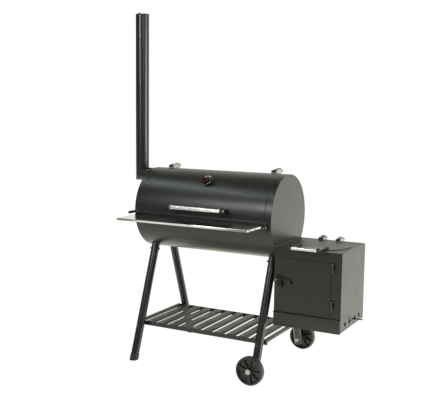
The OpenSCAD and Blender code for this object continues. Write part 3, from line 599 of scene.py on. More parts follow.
def add_piece(mesh: bpy.types.Mesh, body: str, replaces: Sequence[str] = ()) -> None:
    """Puts a mesh into the scene as a piece of a body.

    Args:
        mesh: the finished mesh; the piece takes its name.
        body: the body it moves with.
        replaces: nodes of the frame that it stands for.
    """
    piece = bpy.data.objects.new(mesh.name, mesh)
    bpy.context.scene.collection.objects.link(piece)
    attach(piece, body)
    if replaces:
        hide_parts(*replaces)
    LOG.info("%s on %s: %d faces", mesh.name, body, len(mesh.polygons))


def refined(node: str, finish: Finishes, body: str, smooth: float, soften: float = 0.0) -> None:
    """Stands a merged and smoothly shaded copy of a node in its place.

    Args:
        node: the node.
        finish: its finish.
        body: the body it belongs to.
        smooth: the angle up to which faces are shaded as one.
        soften: width of the rounding of its edges.
    """
    mesh = frame["nodes"][node].data.copy()
    mesh.name = f"{node}_dressed"
    if "custom_normal" in mesh.attributes:
        mesh.attributes.remove(mesh.attributes["custom_normal"])
    bm = bmesh.new()
    bm.from_mesh(mesh)
    bmesh.ops.remove_doubles(bm, verts=bm.verts, dist=2e-6)
    if soften:
        bmesh.ops.dissolve_limit(bm, angle_limit=math.radians(0.4), verts=bm.verts, edges=bm.edges)
        sharp = [e for e in bm.edges if len(e.link_faces) == 2 and e.calc_face_angle(0.0) > math.radians(35)]
        bmesh.ops.bevel(bm, geom=sharp, offset=soften, segments=2, profile=0.5, affect="EDGES", clamp_overlap=True)
    bm.to_mesh(mesh)
    bm.free()
    mesh.materials.clear()
    mesh.materials.append(finish.material())
    mesh.polygons.foreach_set("material_index", [0] * len(mesh.polygons))
    shade(mesh, smooth)
    add_piece(mesh, body, replaces=(node,))


# --------------------------------------------------------------- geometry trees


class Grower:
    """A Geometry Nodes tree that makes something repeated, with named inputs."""

    name = "grower"
    inputs: dict[str, tuple[str, object]] = {}

    def __init__(self) -> None:
        """Builds the tree: the pattern, then Realize Instances and Set Material."""
        self.tree = bpy.data.node_groups.new(self.name, "GeometryNodeTree")
        face = self.tree.interface
        face.new_socket("Geometry", in_out="INPUT", socket_type="NodeSocketGeometry")
        self.ids: dict[str, str] = {}
        for key, (kind, value) in self.inputs.items():
            socket = face.new_socket(key, in_out="INPUT", socket_type=kind)
            socket.default_value = value
            self.ids[key] = socket.identifier
        self.ids["Finish"] = face.new_socket("Finish", in_out="INPUT", socket_type="NodeSocketMaterial").identifier
        face.new_socket("Geometry", in_out="OUTPUT", socket_type="NodeSocketGeometry")
        self.n = Nodes(self.tree)
        start, end = self.n.add("NodeGroupInput"), self.n.add("NodeGroupOutput")
        self.given = {s.name: s for s in start.outputs if s.name}
        real = self.n.add("GeometryNodeRealizeInstances", {0: self.pattern()}).outputs[0]
        coat = self.n.add("GeometryNodeSetMaterial", {"Geometry": real, "Material": self.given["Finish"]})
        self.n.feed(end.inputs[0], coat.outputs[0])

    def pattern(self) -> Socket:
        """Returns the output that holds the instances."""
        raise NotImplementedError

    def spread(self, points: Socket, instance: Socket, **values: Socket) -> Socket:
        """Puts copies on points, and returns the output that holds them."""
        return self.n.add("GeometryNodeInstanceOnPoints",
                          {"Points": points, "Instance": instance, **values}).outputs[0]

    def grow(self, seed: bpy.types.Mesh, name: str, finish: Finishes, smooth: float = 40.0,
             **values: object) -> bpy.types.Mesh:
        """Runs the tree on a mesh.

        Args:
            seed: the mesh that it starts from.
            name: name of the result.
            finish: the result's finish.
            smooth: the angle up to which faces are shaded as one.
            values: the tree's inputs; underscores stand for spaces.

        Returns:
            The plain mesh that it makes.
        """
        holder = bpy.data.objects.new(f"{name}_seed", seed)
        bpy.context.scene.collection.objects.link(holder)
        modifier = holder.modifiers.new("grow", "NODES")
        modifier.node_group = self.tree
        for key, value in values.items():
            modifier[self.ids[key.replace("_", " ")]] = value
        modifier[self.ids["Finish"]] = finish.material()
        graph = bpy.context.evaluated_depsgraph_get()
        mesh = bpy.data.meshes.new_from_object(holder.evaluated_get(graph), depsgraph=graph)
        holder.modifiers.remove(modifier)
        bpy.data.objects.remove(holder)
        mesh.name = name
        for layer in [a.name for a in mesh.attributes if a.name in ("facing", "UVMap")]:
            mesh.attributes.remove(mesh.attributes[layer])
        shade(mesh, smooth)
        return mesh


class HeadShape(Enum):
    """Shapes of screw and rivet heads: corners, height share of the radius, dome."""

    DOME = (14, 0.5, True)
    HEX = (6, 0.62, False)
    PAN = (20, 0.42, False)


class Heads(Grower):
    """Heads of one shape on points, each facing the way the point says."""

    inputs = {"Radius": ("NodeSocketFloat", 0.004), "Turn Seed": ("NodeSocketInt", 7)}

    def __init__(self, shape: HeadShape) -> None:
        """Builds the tree for one head shape."""
        self.shape = shape
        self.name = f"{shape.name.lower()}_heads"
        super().__init__()

    def pattern(self) -> Socket:
        """Returns the output that holds the heads."""
        n = self.n
        corners, tall, dome = self.shape.value
        if dome:
            head = n.add("GeometryNodeMeshUVSphere", {"Segments": corners, "Rings": 8, "Radius": 1.0})
        else:
            head = n.add("GeometryNodeMeshCylinder", {"Vertices": corners, "Radius": 1.0, "Depth": 2.0})
        both = n.add("GeometryNodeJoinGeometry", {0: head.outputs[0]})
        if not dome:
            crown = n.add("GeometryNodeMeshCone", {"Vertices": corners, "Radius Top": 0.8, "Radius Bottom": 1.0,
                                                   "Depth": 0.28})
            lift = n.add("GeometryNodeTransform", {"Geometry": crown.outputs[0], "Translation": (0.0, 0.0, 1.0)})
            n.feed(both.inputs[0], lift.outputs[0])
        flat = n.add("GeometryNodeTransform", {"Geometry": both.outputs[0], "Scale": (1.0, 1.0, tall)})
        facing = n.add("GeometryNodeInputNamedAttribute", {"Name": "facing"}, data_type="FLOAT_VECTOR")
        lined = n.add("FunctionNodeAlignRotationToVector", {"Vector": facing.outputs[0]}, axis="Z")
        spin = n.add("FunctionNodeRandomValue", {2: 0.0, 3: math.tau, "Seed": self.given["Turn Seed"]},
                     data_type="FLOAT")
        euler = n.add("ShaderNodeCombineXYZ", {2: spin.outputs[1]})
        asked = n.add("FunctionNodeEulerToRotation", {0: euler.outputs[0]})
        turn = n.add("FunctionNodeRotateRotation", {0: lined.outputs[0], 1: asked.outputs[0]},
                     rotation_space="LOCAL")
        return self.spread(self.given["Geometry"], flat.outputs[0], Rotation=turn.outputs[0],
                           Scale=self.given["Radius"])

    def on(self, spots: Sequence[tuple[Spot, Spot]], name: str, finish: Finishes, radius: float, body: str) -> None:
        """Adds a piece of heads on spots.

        Args:
            spots: the heads, each as a place and the way it faces.
            name: the piece's name.
            finish: the piece's finish.
            radius: the heads' radius.
            body: the body that they move with.
        """
        seed = bpy.data.meshes.new("spots")
        seed.from_pydata([HOME + Vector(p) for p, _ in spots], [], [])
        facing = seed.attributes.new("facing", "FLOAT_VECTOR", "POINT")
        facing.data.foreach_set("vector", [c for _, f in spots for c in Vector(f).normalized()])
        add_piece(self.grow(seed, name, finish, Radius=radius), body)


class Row(Grower):
    """Copies of a mesh in a straight row."""

    name = "row"
    inputs = {"Count": ("NodeSocketInt", 10), "Step": ("NodeSocketVector", (0.06, 0.0, 0.0))}

    def pattern(self) -> Socket:
        """Returns the output that holds the copies."""
        line = self.n.add("GeometryNodeMeshLine", {"Count": self.given["Count"], "Offset": self.given["Step"]})
        return self.spread(line.outputs[0], self.given["Geometry"])


class Wreath(Grower):
    """Copies of a mesh turned round an axis along Y."""

    name = "wreath"
    inputs = {"Count": ("NodeSocketInt", 8), "Middle": ("NodeSocketVector", (0.0, 0.0, 0.0)),
              "Sweep": ("NodeSocketFloat", math.tau)}

    def pattern(self) -> Socket:
        """Returns the output that holds the copies."""
        n, middle = self.n, self.given["Middle"]
        line = n.add("GeometryNodeMeshLine", {"Count": self.given["Count"], "Start Location": middle,
                                              "Offset": (0.0, 0.0, 0.0)})
        share = n.math("DIVIDE", n.add("GeometryNodeInputIndex").outputs[0], self.given["Count"])
        euler = n.add("ShaderNodeCombineXYZ", {1: n.math("MULTIPLY", share, self.given["Sweep"])})
        turn = n.add("FunctionNodeEulerToRotation", {0: euler.outputs[0]})
        away = n.add("ShaderNodeVectorMath", operation="SCALE")
        n.feed(away.inputs[0], middle)
        n.feed(away.inputs["Scale"], -1.0)
        centred = n.add("GeometryNodeTransform", {"Geometry": self.given["Geometry"],
                                                  "Translation": away.outputs[0]})
        return self.spread(line.outputs[0], centred.outputs[0], Rotation=turn.outputs[0])


class WeldBead(Grower):
    """Overlapping beads along a line, uneven as a hand-laid weld is."""

    name = "weld_bead"
    inputs = {"Size": ("NodeSocketFloat", 0.0022), "Step": ("NodeSocketFloat", 0.0026),
              "Seed": ("NodeSocketInt", 3)}

    def pattern(self) -> Socket:
        """Returns the output that holds the beads."""
        n = self.n
        line = n.add("GeometryNodeMeshToCurve", {0: self.given["Geometry"]})
        even = n.add("GeometryNodeResampleCurve", {"Curve": line.outputs[0], "Length": self.given["Step"]},
                     mode="LENGTH")
        bead = n.add("GeometryNodeMeshIcoSphere", {"Radius": 1.0, "Subdivisions": 2})
        vary = n.add("FunctionNodeRandomValue", {2: 0.8, 3: 1.15, "Seed": self.given["Seed"]}, data_type="FLOAT")
        return self.spread(even.outputs[0], bead.outputs[0],
                           Scale=n.math("MULTIPLY", vary.outputs[1], self.given["Size"]))

    def along(self, path: Sequence[Spot | Vector], name: str, size: float, closed: bool = False,
              seed: int = 3) -> None:
        """Lays a bead along a path, as a piece on the smoker's fixed body."""
        line = bpy.data.meshes.new("path")
        edges = [(k, k + 1) for k in range(len(path) - 1)] + ([(len(path) - 1, 0)] if closed else [])
        line.from_pydata([HOME + Vector(p) for p in path], edges, [])
        mesh = self.grow(line, name, Finishes.WELD, smooth=60.0, Size=size, Step=size * BEAD_STEP, Seed=seed)
        add_piece(mesh, "smoker")


class Growers:
    """The geometry trees, each built once."""

    def __init__(self) -> None:
        """Builds the trees."""
        self.dome = Heads(HeadShape.DOME)
        self.hex = Heads(HeadShape.HEX)
        self.pan = Heads(HeadShape.PAN)
        self.row = Row()
        self.wreath = Wreath()
        self.weld = WeldBead()


GROW = Growers()


def y_axis(x: float, y: float, z: float, outward: int = 1) -> Matrix:
    """Returns a matrix whose Z runs along Y, or against it where outward is -1."""
    return turned_to(Vector((0.0, float(outward), 0.0)), Vector((x, y, z)))


def x_axis(x: float, y: float, z: float) -> Matrix:
    """Returns a matrix whose Z runs along X."""
    return turned_to(Vector((1.0, 0.0, 0.0)), Vector((x, y, z)))


def upright(x: float = 0.0, y: float = 0.0, z: float = 0.0) -> Matrix:
    """Returns a matrix that stands an outline in the XZ plane, with its depth along Y."""
    return Matrix(((1, 0, 0, x), (0, 0, 1, y), (0, 1, 0, z), (0, 0, 0, 1)))


def level(points: Sequence[Pair], z: float, shift: Pair = (0.0, 0.0)) -> list[Vector]:
    """Returns points of a plan at one height."""
    return [Vector((u + shift[0], v + shift[1], z)) for u, v in points]


def grip(half: float, radius: float, middle: Spot, collar: float, swell: float, sides: int) -> Form:
    """Returns a tube handle along X with a raised collar near each end.

    Args:
        half: half the tube's length.
        radius: the tube's radius.
        middle: the tube's middle.
        collar: distance of each collar from the middle.
        swell: height of the collars.
        sides: corners of the tube's section.

    Returns:
        The handle.
    """
    x, y, z = middle
    r = radius
    form = Form().lathe([(r - 0.0015, -half), (r, -half + 0.0006), (r, half - 0.0006), (r - 0.0015, half)],
                        x_axis(x, y, z), sides)
    for side in (-1, 1):
        form.lathe([(r - 0.0005, -0.003), (r + swell, -0.0024), (r + swell, 0.0024), (r - 0.0005, 0.003)],
                   x_axis(x + side * collar, y, z), sides)
    return form


def rounded(width: float, height: float, radius: float, steps: int = 5) -> list[Pair]:
    """Returns a rectangle with round corners, from the origin to (width, height)."""
    corners = ((width - radius, radius, -90), (width - radius, height - radius, 0),
               (radius, height - radius, 90), (radius, radius, 180))
    return [(x + radius * math.cos(math.radians(a + 90 * k / steps)),
             y + radius * math.sin(math.radians(a + 90 * k / steps)))
            for x, y, a in corners for k in range(steps + 1)]


# ------------------------------------------------------------------------ barrel

LEDGE_GAP = 0.0003
LEDGE_SHEET = 0.002
SEAM = 0.0012
WELD_RADIUS = 0.2003
NECK_END = 0.0036

@dataclass
class Barrel:
    """The cooking barrel: shell, end caps, lid, its hinges and its handle."""

    radius: float = 0.200
    sheet: float = 0.002
    half: float = 0.368
    lid_half: float = 0.3355
    axis_z: float = AXIS_Z
    front_seam: float = -2.3
    rear_seam: float = 98.0
    body: str = "smoker"
    lid_body: str = "barrel_lid"

    def point(self, x: float, degrees: float, depth: float = 0.0) -> Vector:
        """Returns a place on the wall, at an angle up from its foremost line."""
        a, r = math.radians(degrees), self.radius - depth
        return Vector((x, -r * math.cos(a), self.axis_z + r * math.sin(a)))

    def build(self) -> None:
        """Builds every piece of the barrel."""
        self.shell()
        self.lid()
        self.ends()
        self.hinges()
        self.handle()
        self.grates()

    def shell(self) -> None:
        """Builds the fixed wall with the lid's window, and its ledges."""
        gap = 0.001
        xs = [-self.half, -self.lid_half - gap, -0.17, 0.0, 0.17, self.lid_half + gap, self.half]
        angles = sorted({self.front_seam, self.rear_seam,
                         *(self.front_seam + (self.rear_seam - self.front_seam) * k / 34 for k in range(35)),
                         *(self.rear_seam + (360 + self.front_seam - self.rear_seam) * k / 88 for k in range(89))})

        def opening(x: float, a: float) -> bool:
            return abs(x) < self.lid_half + gap and self.front_seam < a < self.rear_seam

        def ledge(x: float, a: float, depth: float) -> Vector:
            return self.point(x, a, depth + self.sheet + LEDGE_GAP)

        form = Form().cells(xs, angles, self.point, self.sheet, opening, wraps=True)
        form.soften(0.0006, 2, 40)
        for side in (-1, 1):
            a, b = sorted((side * (self.lid_half - 0.012), side * (self.lid_half + 0.009)))
            steps = [self.front_seam + (self.rear_seam - self.front_seam) * k / 30 for k in range(31)]
            form.cells([a, b], steps, ledge, LEDGE_SHEET)
        steps = [self.front_seam + k for k in (-5, -3, -1, 1, 3)]
        form.cells([-self.lid_half, self.lid_half], steps, ledge, LEDGE_SHEET)
        for side in (-1, 1):
            low, high = sorted((side * 0.172, side * 0.1935))
            form.box((-self.lid_half, low, self.axis_z - 0.037), (self.lid_half, high, self.axis_z - 0.034))
        form.piece("barrel_wall", Finishes.BODY, self.body, "barrel_shell", 15)

    def lid(self) -> None:
        """Builds the curved lid with rounded edges and a rolled hem along its front edge."""
        steps = [self.front_seam + 0.35 + (self.rear_seam - self.front_seam - 0.7) * k / 56 for k in range(57)]
        xs = [-self.lid_half, -self.lid_half + 0.01, -0.17, 0.0, 0.17, self.lid_half - 0.01, self.lid_half]
        form = Form().cells(xs, steps, self.point, self.sheet)
        form.soften(0.0006, 2, 40)
        path = [self.point(x, steps[0] + 0.9, -0.0002) for x in (-self.lid_half + 0.008, 0.0, self.lid_half - 0.008)]
        form.sweep(path, 0.0011, 8)
        form.piece("barrel_lid_wall", Finishes.BODY, self.lid_body, "barrel_lid", 15)

    def ends(self) -> None:
        """Builds the end caps' looks and the beads that join them to the wall."""
        for node in ("left_end_cap", "right_end_cap"):
            refined(node, Finishes.BODY, self.body, 30)
        for side, name in ((-1, "left"), (1, "right")):
            rings = []
            for k in range(120):
                p = self.point(side * (self.half - 0.0004), 360 * k / 120, SEAM)
                out = (p - Vector((p.x, 0, self.axis_z))).normalized()
                rings.append([p + Vector((side * SEAM * c, 0, 0)) + out * SEAM * s for c, s in circle(8)])
            form = Form().rings(rings, closed=True)
            form.trim(f"{name}_cap_seam", Finishes.WELD, self.body, "black_paint", 60)

    def hinges(self) -> None:
        """Dresses the lid's two hinges and adds their screws and pin ends."""
        refined("barrel_hinge_knuckles", Finishes.ZINC, self.body, 20, 0.0007)
        refined("lid_hinge_arms", Finishes.ZINC, self.lid_body, 20, 0.0005)
        refined("lid_hinge_blocks", Finishes.FITTING, self.lid_body, 20, 0.0022)
        refined("hinge_pins", Finishes.ZINC, self.body, 30)
        ends, plate, strap = [], [], []
        for middle in (-0.286, 0.286):
            ends += [((middle + s * 0.0172, 0.065, 0.935), (s, 0, 0)) for s in (-1, 1)]
            plate += [(tuple(self.point(middle + s * 0.0135, 112, -0.0025)), (0, 0.37, 0.93)) for s in (-1, 1)]
            strap.append(((middle, 0.0185, 0.9420), (0, 0, 1)))
        GROW.dome.on(ends, "lid_pin_ends", Finishes.ZINC, 0.0055, self.body)
        GROW.pan.on(plate, "hinge_plate_screws", Finishes.ZINC, 0.0032, self.body)
        GROW.hex.on(strap, "hinge_block_bolts", Finishes.DARK_STEEL, 0.0045, self.lid_body)

    def handle(self) -> None:
        """Builds the lid's tube handle with its end collars, standoffs and screws."""
        half, y, z, r = 0.134, -0.2474, 0.7621, 0.010
        form = grip(half, r, (0, y, z), half - 0.009, 0.0009, 40)
        form.piece("lid_handle_bar", Finishes.STAINLESS, self.lid_body, "lid_handle_tube")
        refined("lid_handle_standoffs", Finishes.FITTING, self.lid_body, 20, 0.0018)
        refined("lid_handle_screws", Finishes.ZINC, self.lid_body, 30)
        spots = [((s * (half + 0.0142), y, z), (s, 0, 0)) for s in (-1, 1)]
        GROW.hex.on(spots, "lid_handle_nuts", Finishes.ZINC, 0.0048, self.lid_body)

    def grates(self) -> None:
        """Builds the two rod grates that the food lies on."""
        z, half_y, rod = self.axis_z - 0.0307, 0.181, 0.0025
        for name, low, high in (("cooking_grate_left", -0.3275, -0.002), ("cooking_grate_right", 0.002, 0.3275)):
            corners = [(low + 0.003, -half_y), (high - 0.003, -half_y), (high - 0.003, half_y), (low + 0.003, half_y)]
            form = Form()
            for (ax, ay), (bx, by) in zip(corners, corners[1:] + corners[:1]):
                form.sweep([Vector((ax, ay, z)), Vector((bx, by, z))], 0.003, 12)
            form.sweep([Vector((low + 0.003, 0, z - 0.0006)), Vector((high - 0.003, 0, z - 0.0006))], 0.0022, 10)
            step = (high - low - 0.006) / 17
            one = Form().sweep([Vector((low + 0.003 + step, -half_y, z)), Vector((low + 0.003 + step, half_y, z))],
                               rod, 12).mesh("one_rod", Finishes.ROD)
            rods = GROW.row.grow(one, "rods", Finishes.ROD, Count=16, Step=(step, 0.0, 0.0))
            form.take(rods)
            form.piece(f"{name}_rods", Finishes.ROD, self.body, name)


@dataclass
class Thermometer:
    """The dial thermometer on the lid."""

    x: float = 0.006
    degrees: float = 51.0
    tilt: float = 20.0
    head: Pair = (-0.132, 0.1615)
    radius: float = 0.0265
    body: str = "barrel_lid"
    barrel: Barrel = field(default_factory=Barrel)

    def __post_init__(self) -> None:
        """Works out where the head and the stem sit: their Z points outwards."""
        self.at = (Matrix.Translation((self.x, self.head[0], AXIS_Z + self.head[1]))
                   @ Matrix.Rotation(math.radians(90 - self.tilt), 4, "X"))
        self.stem = (Matrix.Translation(self.barrel.point(self.x, self.degrees))
                     @ Matrix.Rotation(math.radians(90 - self.degrees), 4, "X"))

    def neck(self) -> Form:
        """Returns the slanted neck that runs from the lid to the back of the head."""
        rings = []
        for share, r, depth in ((0.0, 0.0119, 0.0009), (0.12, 0.0122, 0.0018), (0.9, 0.0155, 0.0), (1.0, 0.0159, 0.0)):
            rings.append([(self.stem @ Vector((r * c, r * s, depth))).lerp(
                self.at @ Vector((r * c, r * s, NECK_END)), share) for c, s in circle(40)])
        return Form().rings(rings)

    def arc(self, form: Form, inner: float, outer: float, start: float, end: float, z: float) -> None:
        """Adds a flat arc on the dial, between two angles in degrees from its right."""
        steps = [start + (end - start) * k / 24 for k in range(25)]
        form.cells([inner, outer], steps, lambda r, a, d: self.at @ Vector(
            (r * math.cos(math.radians(a)), r * math.sin(math.radians(a)), z - d)), 0.00012)

    def build(self) -> None:
        """Builds the case, dial, marks, glass and needle."""
        r = self.radius
        form = self.neck()
        form.lathe([(0.0, -0.045), (0.0035, -0.045), (0.004, -0.0445), (0.004, 0.003), (0.0, 0.003)], self.stem, 24)
        form.lathe([(0.0, 0.0032), (r - 0.0045, 0.0032), (r - 0.002, 0.0042), (r - 0.0004, 0.0062), (r, 0.0085),
                    (r, 0.011), (r - 0.0006, 0.0136), (r - 0.0022, 0.015), (r - 0.0034, 0.0146), (r - 0.004, 0.0132),
                    (r - 0.004, 0.0122), (r - 0.0026, 0.0121), (r - 0.0026, 0.0062), (0.0, 0.0055)], self.at, 56)
        form.piece("gauge_case", Finishes.BEZEL, self.body, "thermometer_case", 28)
        form = Form().lathe([(0.0, 0.009), (r - 0.0027, 0.009), (r - 0.0027, 0.0099), (0.0012, 0.0099),
                             (0.0, 0.0099)], self.at, 56)
        form.piece("gauge_dial", Finishes.DIAL, self.body, "thermometer_dial")
        for name, finish, marks in (
                ("gauge_marks_white", Finishes.INK_WHITE, ((0.0162, 0.0224, 36, 142),)),
                ("gauge_marks_grey", Finishes.INK_GREY, ((0.0186, 0.0206, -14, 28), (0.0160, 0.0212, -52, -18))),
                ("gauge_marks_pink", Finishes.INK_PINK, ((0.0102, 0.0124, 10, 160),))):
            form = Form()
            for inner, outer, start, end in marks:
                self.arc(form, inner, outer, start, end, 0.01005)
            form.trim(name, finish, self.body, "gauge_dial")
        form = Form()
        for k in range(23):
            a = math.radians(218 - 256 * k / 22)
            long = 0.0028 if k % 4 == 0 else 0.0016
            tip = self.at @ Matrix.Rotation(a, 4, "Z")
            form.box((0.0212 - long * 0.2, -0.00022, 0.00995), (0.0212 + long * 0.6, 0.00022, 0.01008), tip)
        form.trim("gauge_ticks", Finishes.INK_WHITE, self.body, "gauge_dial")
        form = Form().lathe([(0.0, 0.0122), (r - 0.0042, 0.0122), (r - 0.0042, 0.0128), (0.014, 0.0134), (0.0, 0.0136)],
                            self.at, 48)
        form.piece("gauge_glass", Finishes.GLASS, self.body, "thermometer_glass", 60)
        refined("thermometer_nut", Finishes.ZINC, self.body, 30)
        at = self.at @ Matrix.Rotation(math.radians(218), 4, "Z")
        blade = [(-0.006, -0.0009), (0.002, -0.0011), (0.0178, -0.0003), (0.0178, 0.0003), (0.002, 0.0011),
                 (-0.006, 0.0009)]
        form = Form().prism(blade, 0.0005, at @ Matrix.Translation((0, 0, 0.0104)))
        form.lathe([(0.0, 0.0103), (0.0026, 0.0103), (0.0026, 0.0108), (0.0017, 0.0114), (0.0, 0.0115)], self.at, 24)
        form.lathe([(0.0, 0.006), (0.001, 0.006), (0.001, 0.0105), (0.0, 0.0105)], self.at, 12)
        form.piece("gauge_needle", Finishes.NEEDLE, "thermometer_needle", "thermometer_needle")


@dataclass
class Chimney:
    """The mitred flue pipe and its swivel cap."""

    x: float = -0.459
    radius: float = 0.034
    wall: float = 0.0015
    stub_z: float = 0.887
    stub_x: float = -0.360
    top: float = 1.694
    cap: float = 0.003
    sides: int = 64
    body: str = "smoker"

    def ring(self, r: float, kind: str) -> list[Vector]:
        """Returns the section of the pipe at its stub end, its mitre or its top."""
        out = []
        for c, s in circle(self.sides):
            u, v = r * s, r * c
            out.append({"stub": Vector((self.stub_x, v, self.stub_z + u)),
                        "mitre": Vector((self.x + u, v, self.stub_z + u)),
                        "top": Vector((self.x + u, v, self.top))}[kind])
        return out

    def build(self) -> None:
        """Builds the pipe, its weld and the cap."""
        r, i = self.radius, self.radius - self.wall
        form = Form().rings([self.ring(r, "stub"), self.ring(r, "mitre"), self.ring(r, "top"),
                             self.ring(i, "top"), self.ring(i, "mitre"), self.ring(i, "stub")], closed=True)
        tab = turned_to(Vector((0, 0, 1)), Vector((self.x, 0, self.top - 0.010)))
        form.box((0.013, -0.008, 0.0), (0.0328, 0.008, 0.003), tab)
        form.piece("flue_pipe", Finishes.TUBE, self.body, "chimney_pipe", 25)
        GROW.weld.along(self.ring(r - 0.0011, "mitre"), "flue_mitre_weld", 0.0014, closed=True)
        collar = [Vector((-0.3685, p.y, p.z)) for p in self.ring(r + 0.0006, "stub")]
        GROW.weld.along(collar, "flue_collar_weld", 0.0022, closed=True, seed=5)
        self.cap_pieces()

    def cap_pieces(self) -> None:
        """Builds the cap, its thumb tab and its pivot screw."""
        at = Matrix.Translation((self.x, 0, self.top + 0.0003))
        r, h = self.radius, self.cap
        form = Form().lathe([(0.0, 0.0), (r - 0.001, 0.0), (r, 0.0006), (r, h - 0.0008), (r - 0.001, h), (0.0, h)],
                            at, 64)
        form.prism(rounded(0.012, 0.0115, 0.004), 0.002,
                   Matrix.Translation((self.x - 0.020, 0.006, self.top + 0.0015)) @ Matrix(
                       ((0, 0, 1, 0), (-1, 0, 0, 0), (0, 1, 0, 0), (0, 0, 0, 1))))
        form.piece("flue_cap", Finishes.TUBE, "chimney_cap", "chimney_cap", 30)
        refined("cap_pivot_screw", Finishes.ZINC, self.body, 30)


@dataclass
class Shelf:
    """The fold-down front shelf and its brackets."""

    half: float = 0.345
    front: float = -0.388
    back: float = -0.206
    top: float = 0.711
    sheet: float = 0.0015
    fold: float = 0.010
    body: str = "front_shelf"

    def build(self) -> None:
        """Builds the tray, the brackets and their bolts."""
        depth, wide, s = self.back - self.front, 2 * self.half, self.sheet
        at = Matrix.Translation((-self.half, self.front, self.top - s))
        form = Form().prism(rounded(wide, depth, 0.004), s, at)
        outer, inner = rounded(wide, depth, 0.004), rounded(wide - 2 * s, depth - 2 * s, 0.0028)
        low, high = self.top - self.fold, self.top - s * 0.5
        corner, inset = (-self.half, self.front), (s - self.half, self.front + s)
        form.rings([level(outer, low, corner), level(outer, high, corner), level(inner, high, inset),
                    level(inner, low, inset)], closed=True)
        for side in (-1, 1):
            x0, x1 = sorted((side * self.half, side * (self.half - s)))
            form.box((x0, self.back - 0.016, self.top - 0.020), (x1, self.back - 0.001, self.top - 0.008))
        form.soften(0.0005, 2, 50)
        form.piece("shelf_tray", Finishes.SHELF, self.body, "front_shelf", 20)
        refined("shelf_brackets", Finishes.FITTING, "smoker", 20, 0.0008)
        refined("shelf_pivot_bolts", Finishes.ZINC, "smoker", 30)
        spots = [((s * (self.half + 0.0072), -0.214, 0.698), (s, 0, 0)) for s in (-1, 1)]
        spots += [((s * (self.half + 0.0043), -0.214, 0.682), (s, 0, 0)) for s in (-1, 1)]
        GROW.dome.on(spots, "shelf_bracket_heads", Finishes.DARK_STEEL, 0.0042, "smoker")


@dataclass
class Stand:
    """The splayed legs, their feet and bolts, and the handle on the left end."""

    left_x: float = -0.3235
    right_x: float = 0.3285
    foot_y: float = 0.274
    top_y: float = 0.078
    top_z: float = 0.546
    tube: float = 0.020
    body: str = "smoker"

    def leg_y(self, z: float) -> float:
        """Returns how far a leg's centre line is from the barrel axis at a height."""
        return self.foot_y + (self.top_y - self.foot_y) * z / self.top_z

    def leg_line(self, x: float, side: int) -> tuple[Vector, Vector]:
        """Returns a leg's foot and the way that it rises from there."""
        low = Vector((x, side * self.foot_y, 0.0))
        return low, (Vector((x, side * self.top_y, self.top_z)) - low).normalized()

    def build(self) -> None:
        """Builds the stand's pieces."""
        for node in ("leg_front_left", "leg_rear_left", "leg_front_right", "leg_rear_right", "leg_spigots"):
            refined(node, Finishes.TUBE, self.body, 30)
        refined("foot_caps", Finishes.FOOT, self.body, 30)
        refined("frame_bolts", Finishes.DARK_STEEL, self.body, 30)
        refined("side_handle", Finishes.FITTING, self.body, 40)
        self.foot_ribs()
        self.bolt_heads()
        self.leg_welds()

    def foot_ribs(self) -> None:
        """Adds two gripping ribs round each foot cap."""
        form = Form()
        for side in (-1, 1):
            low, up = self.leg_line(self.left_x, side)
            for s in (0.012, 0.020):
                form.lathe([(0.0212, -0.0012), (0.0223, -0.0004), (0.0223, 0.0004), (0.0212, 0.0012)],
                           turned_to(up, low + up * s), 36)
        form.trim("foot_cap_ribs", Finishes.FOOT, self.body, "black_plastic")

    def bolt_heads(self) -> None:
        """Adds hexagon heads on the legs' bolts."""
        spots = []
        for x, end in ((self.left_x, -1), (self.right_x, 1)):
            for side in (-1, 1):
                y = side * self.leg_y(0.521)
                spots.append(((x + end * (self.tube + 0.0025), y, 0.521), (end, 0, 0)))
                spots.append(((x - end * (self.tube + 0.0022), y, 0.521), (-end, 0, 0)))
        GROW.hex.on(spots, "leg_bolt_heads", Finishes.DARK_STEEL, 0.0058, self.body)

    def leg_welds(self) -> None:
        """Lays a bead where each leg meets the barrel."""
        legs = [(x, side) for x in (self.left_x, self.right_x) for side in (-1, 1)]
        outer = self.tube + 0.0004
        for n, (x, side) in enumerate(legs):
            low, up = self.leg_line(x, side)
            a = Vector((1, 0, 0))
            b = up.cross(a)
            path = []
            for c, s in circle(40):
                p = low + a * outer * c + b * outer * s
                q = Vector((p.y, p.z - AXIS_Z))
                d = Vector((up.y, up.z))
                m, rest = q.dot(d), q.length_squared - WELD_RADIUS ** 2
                path.append(p + up * (-m - math.sqrt(m * m - rest)))
            GROW.weld.along(path, f"leg_weld_{n + 1}", 0.002, closed=True, seed=11 + n)


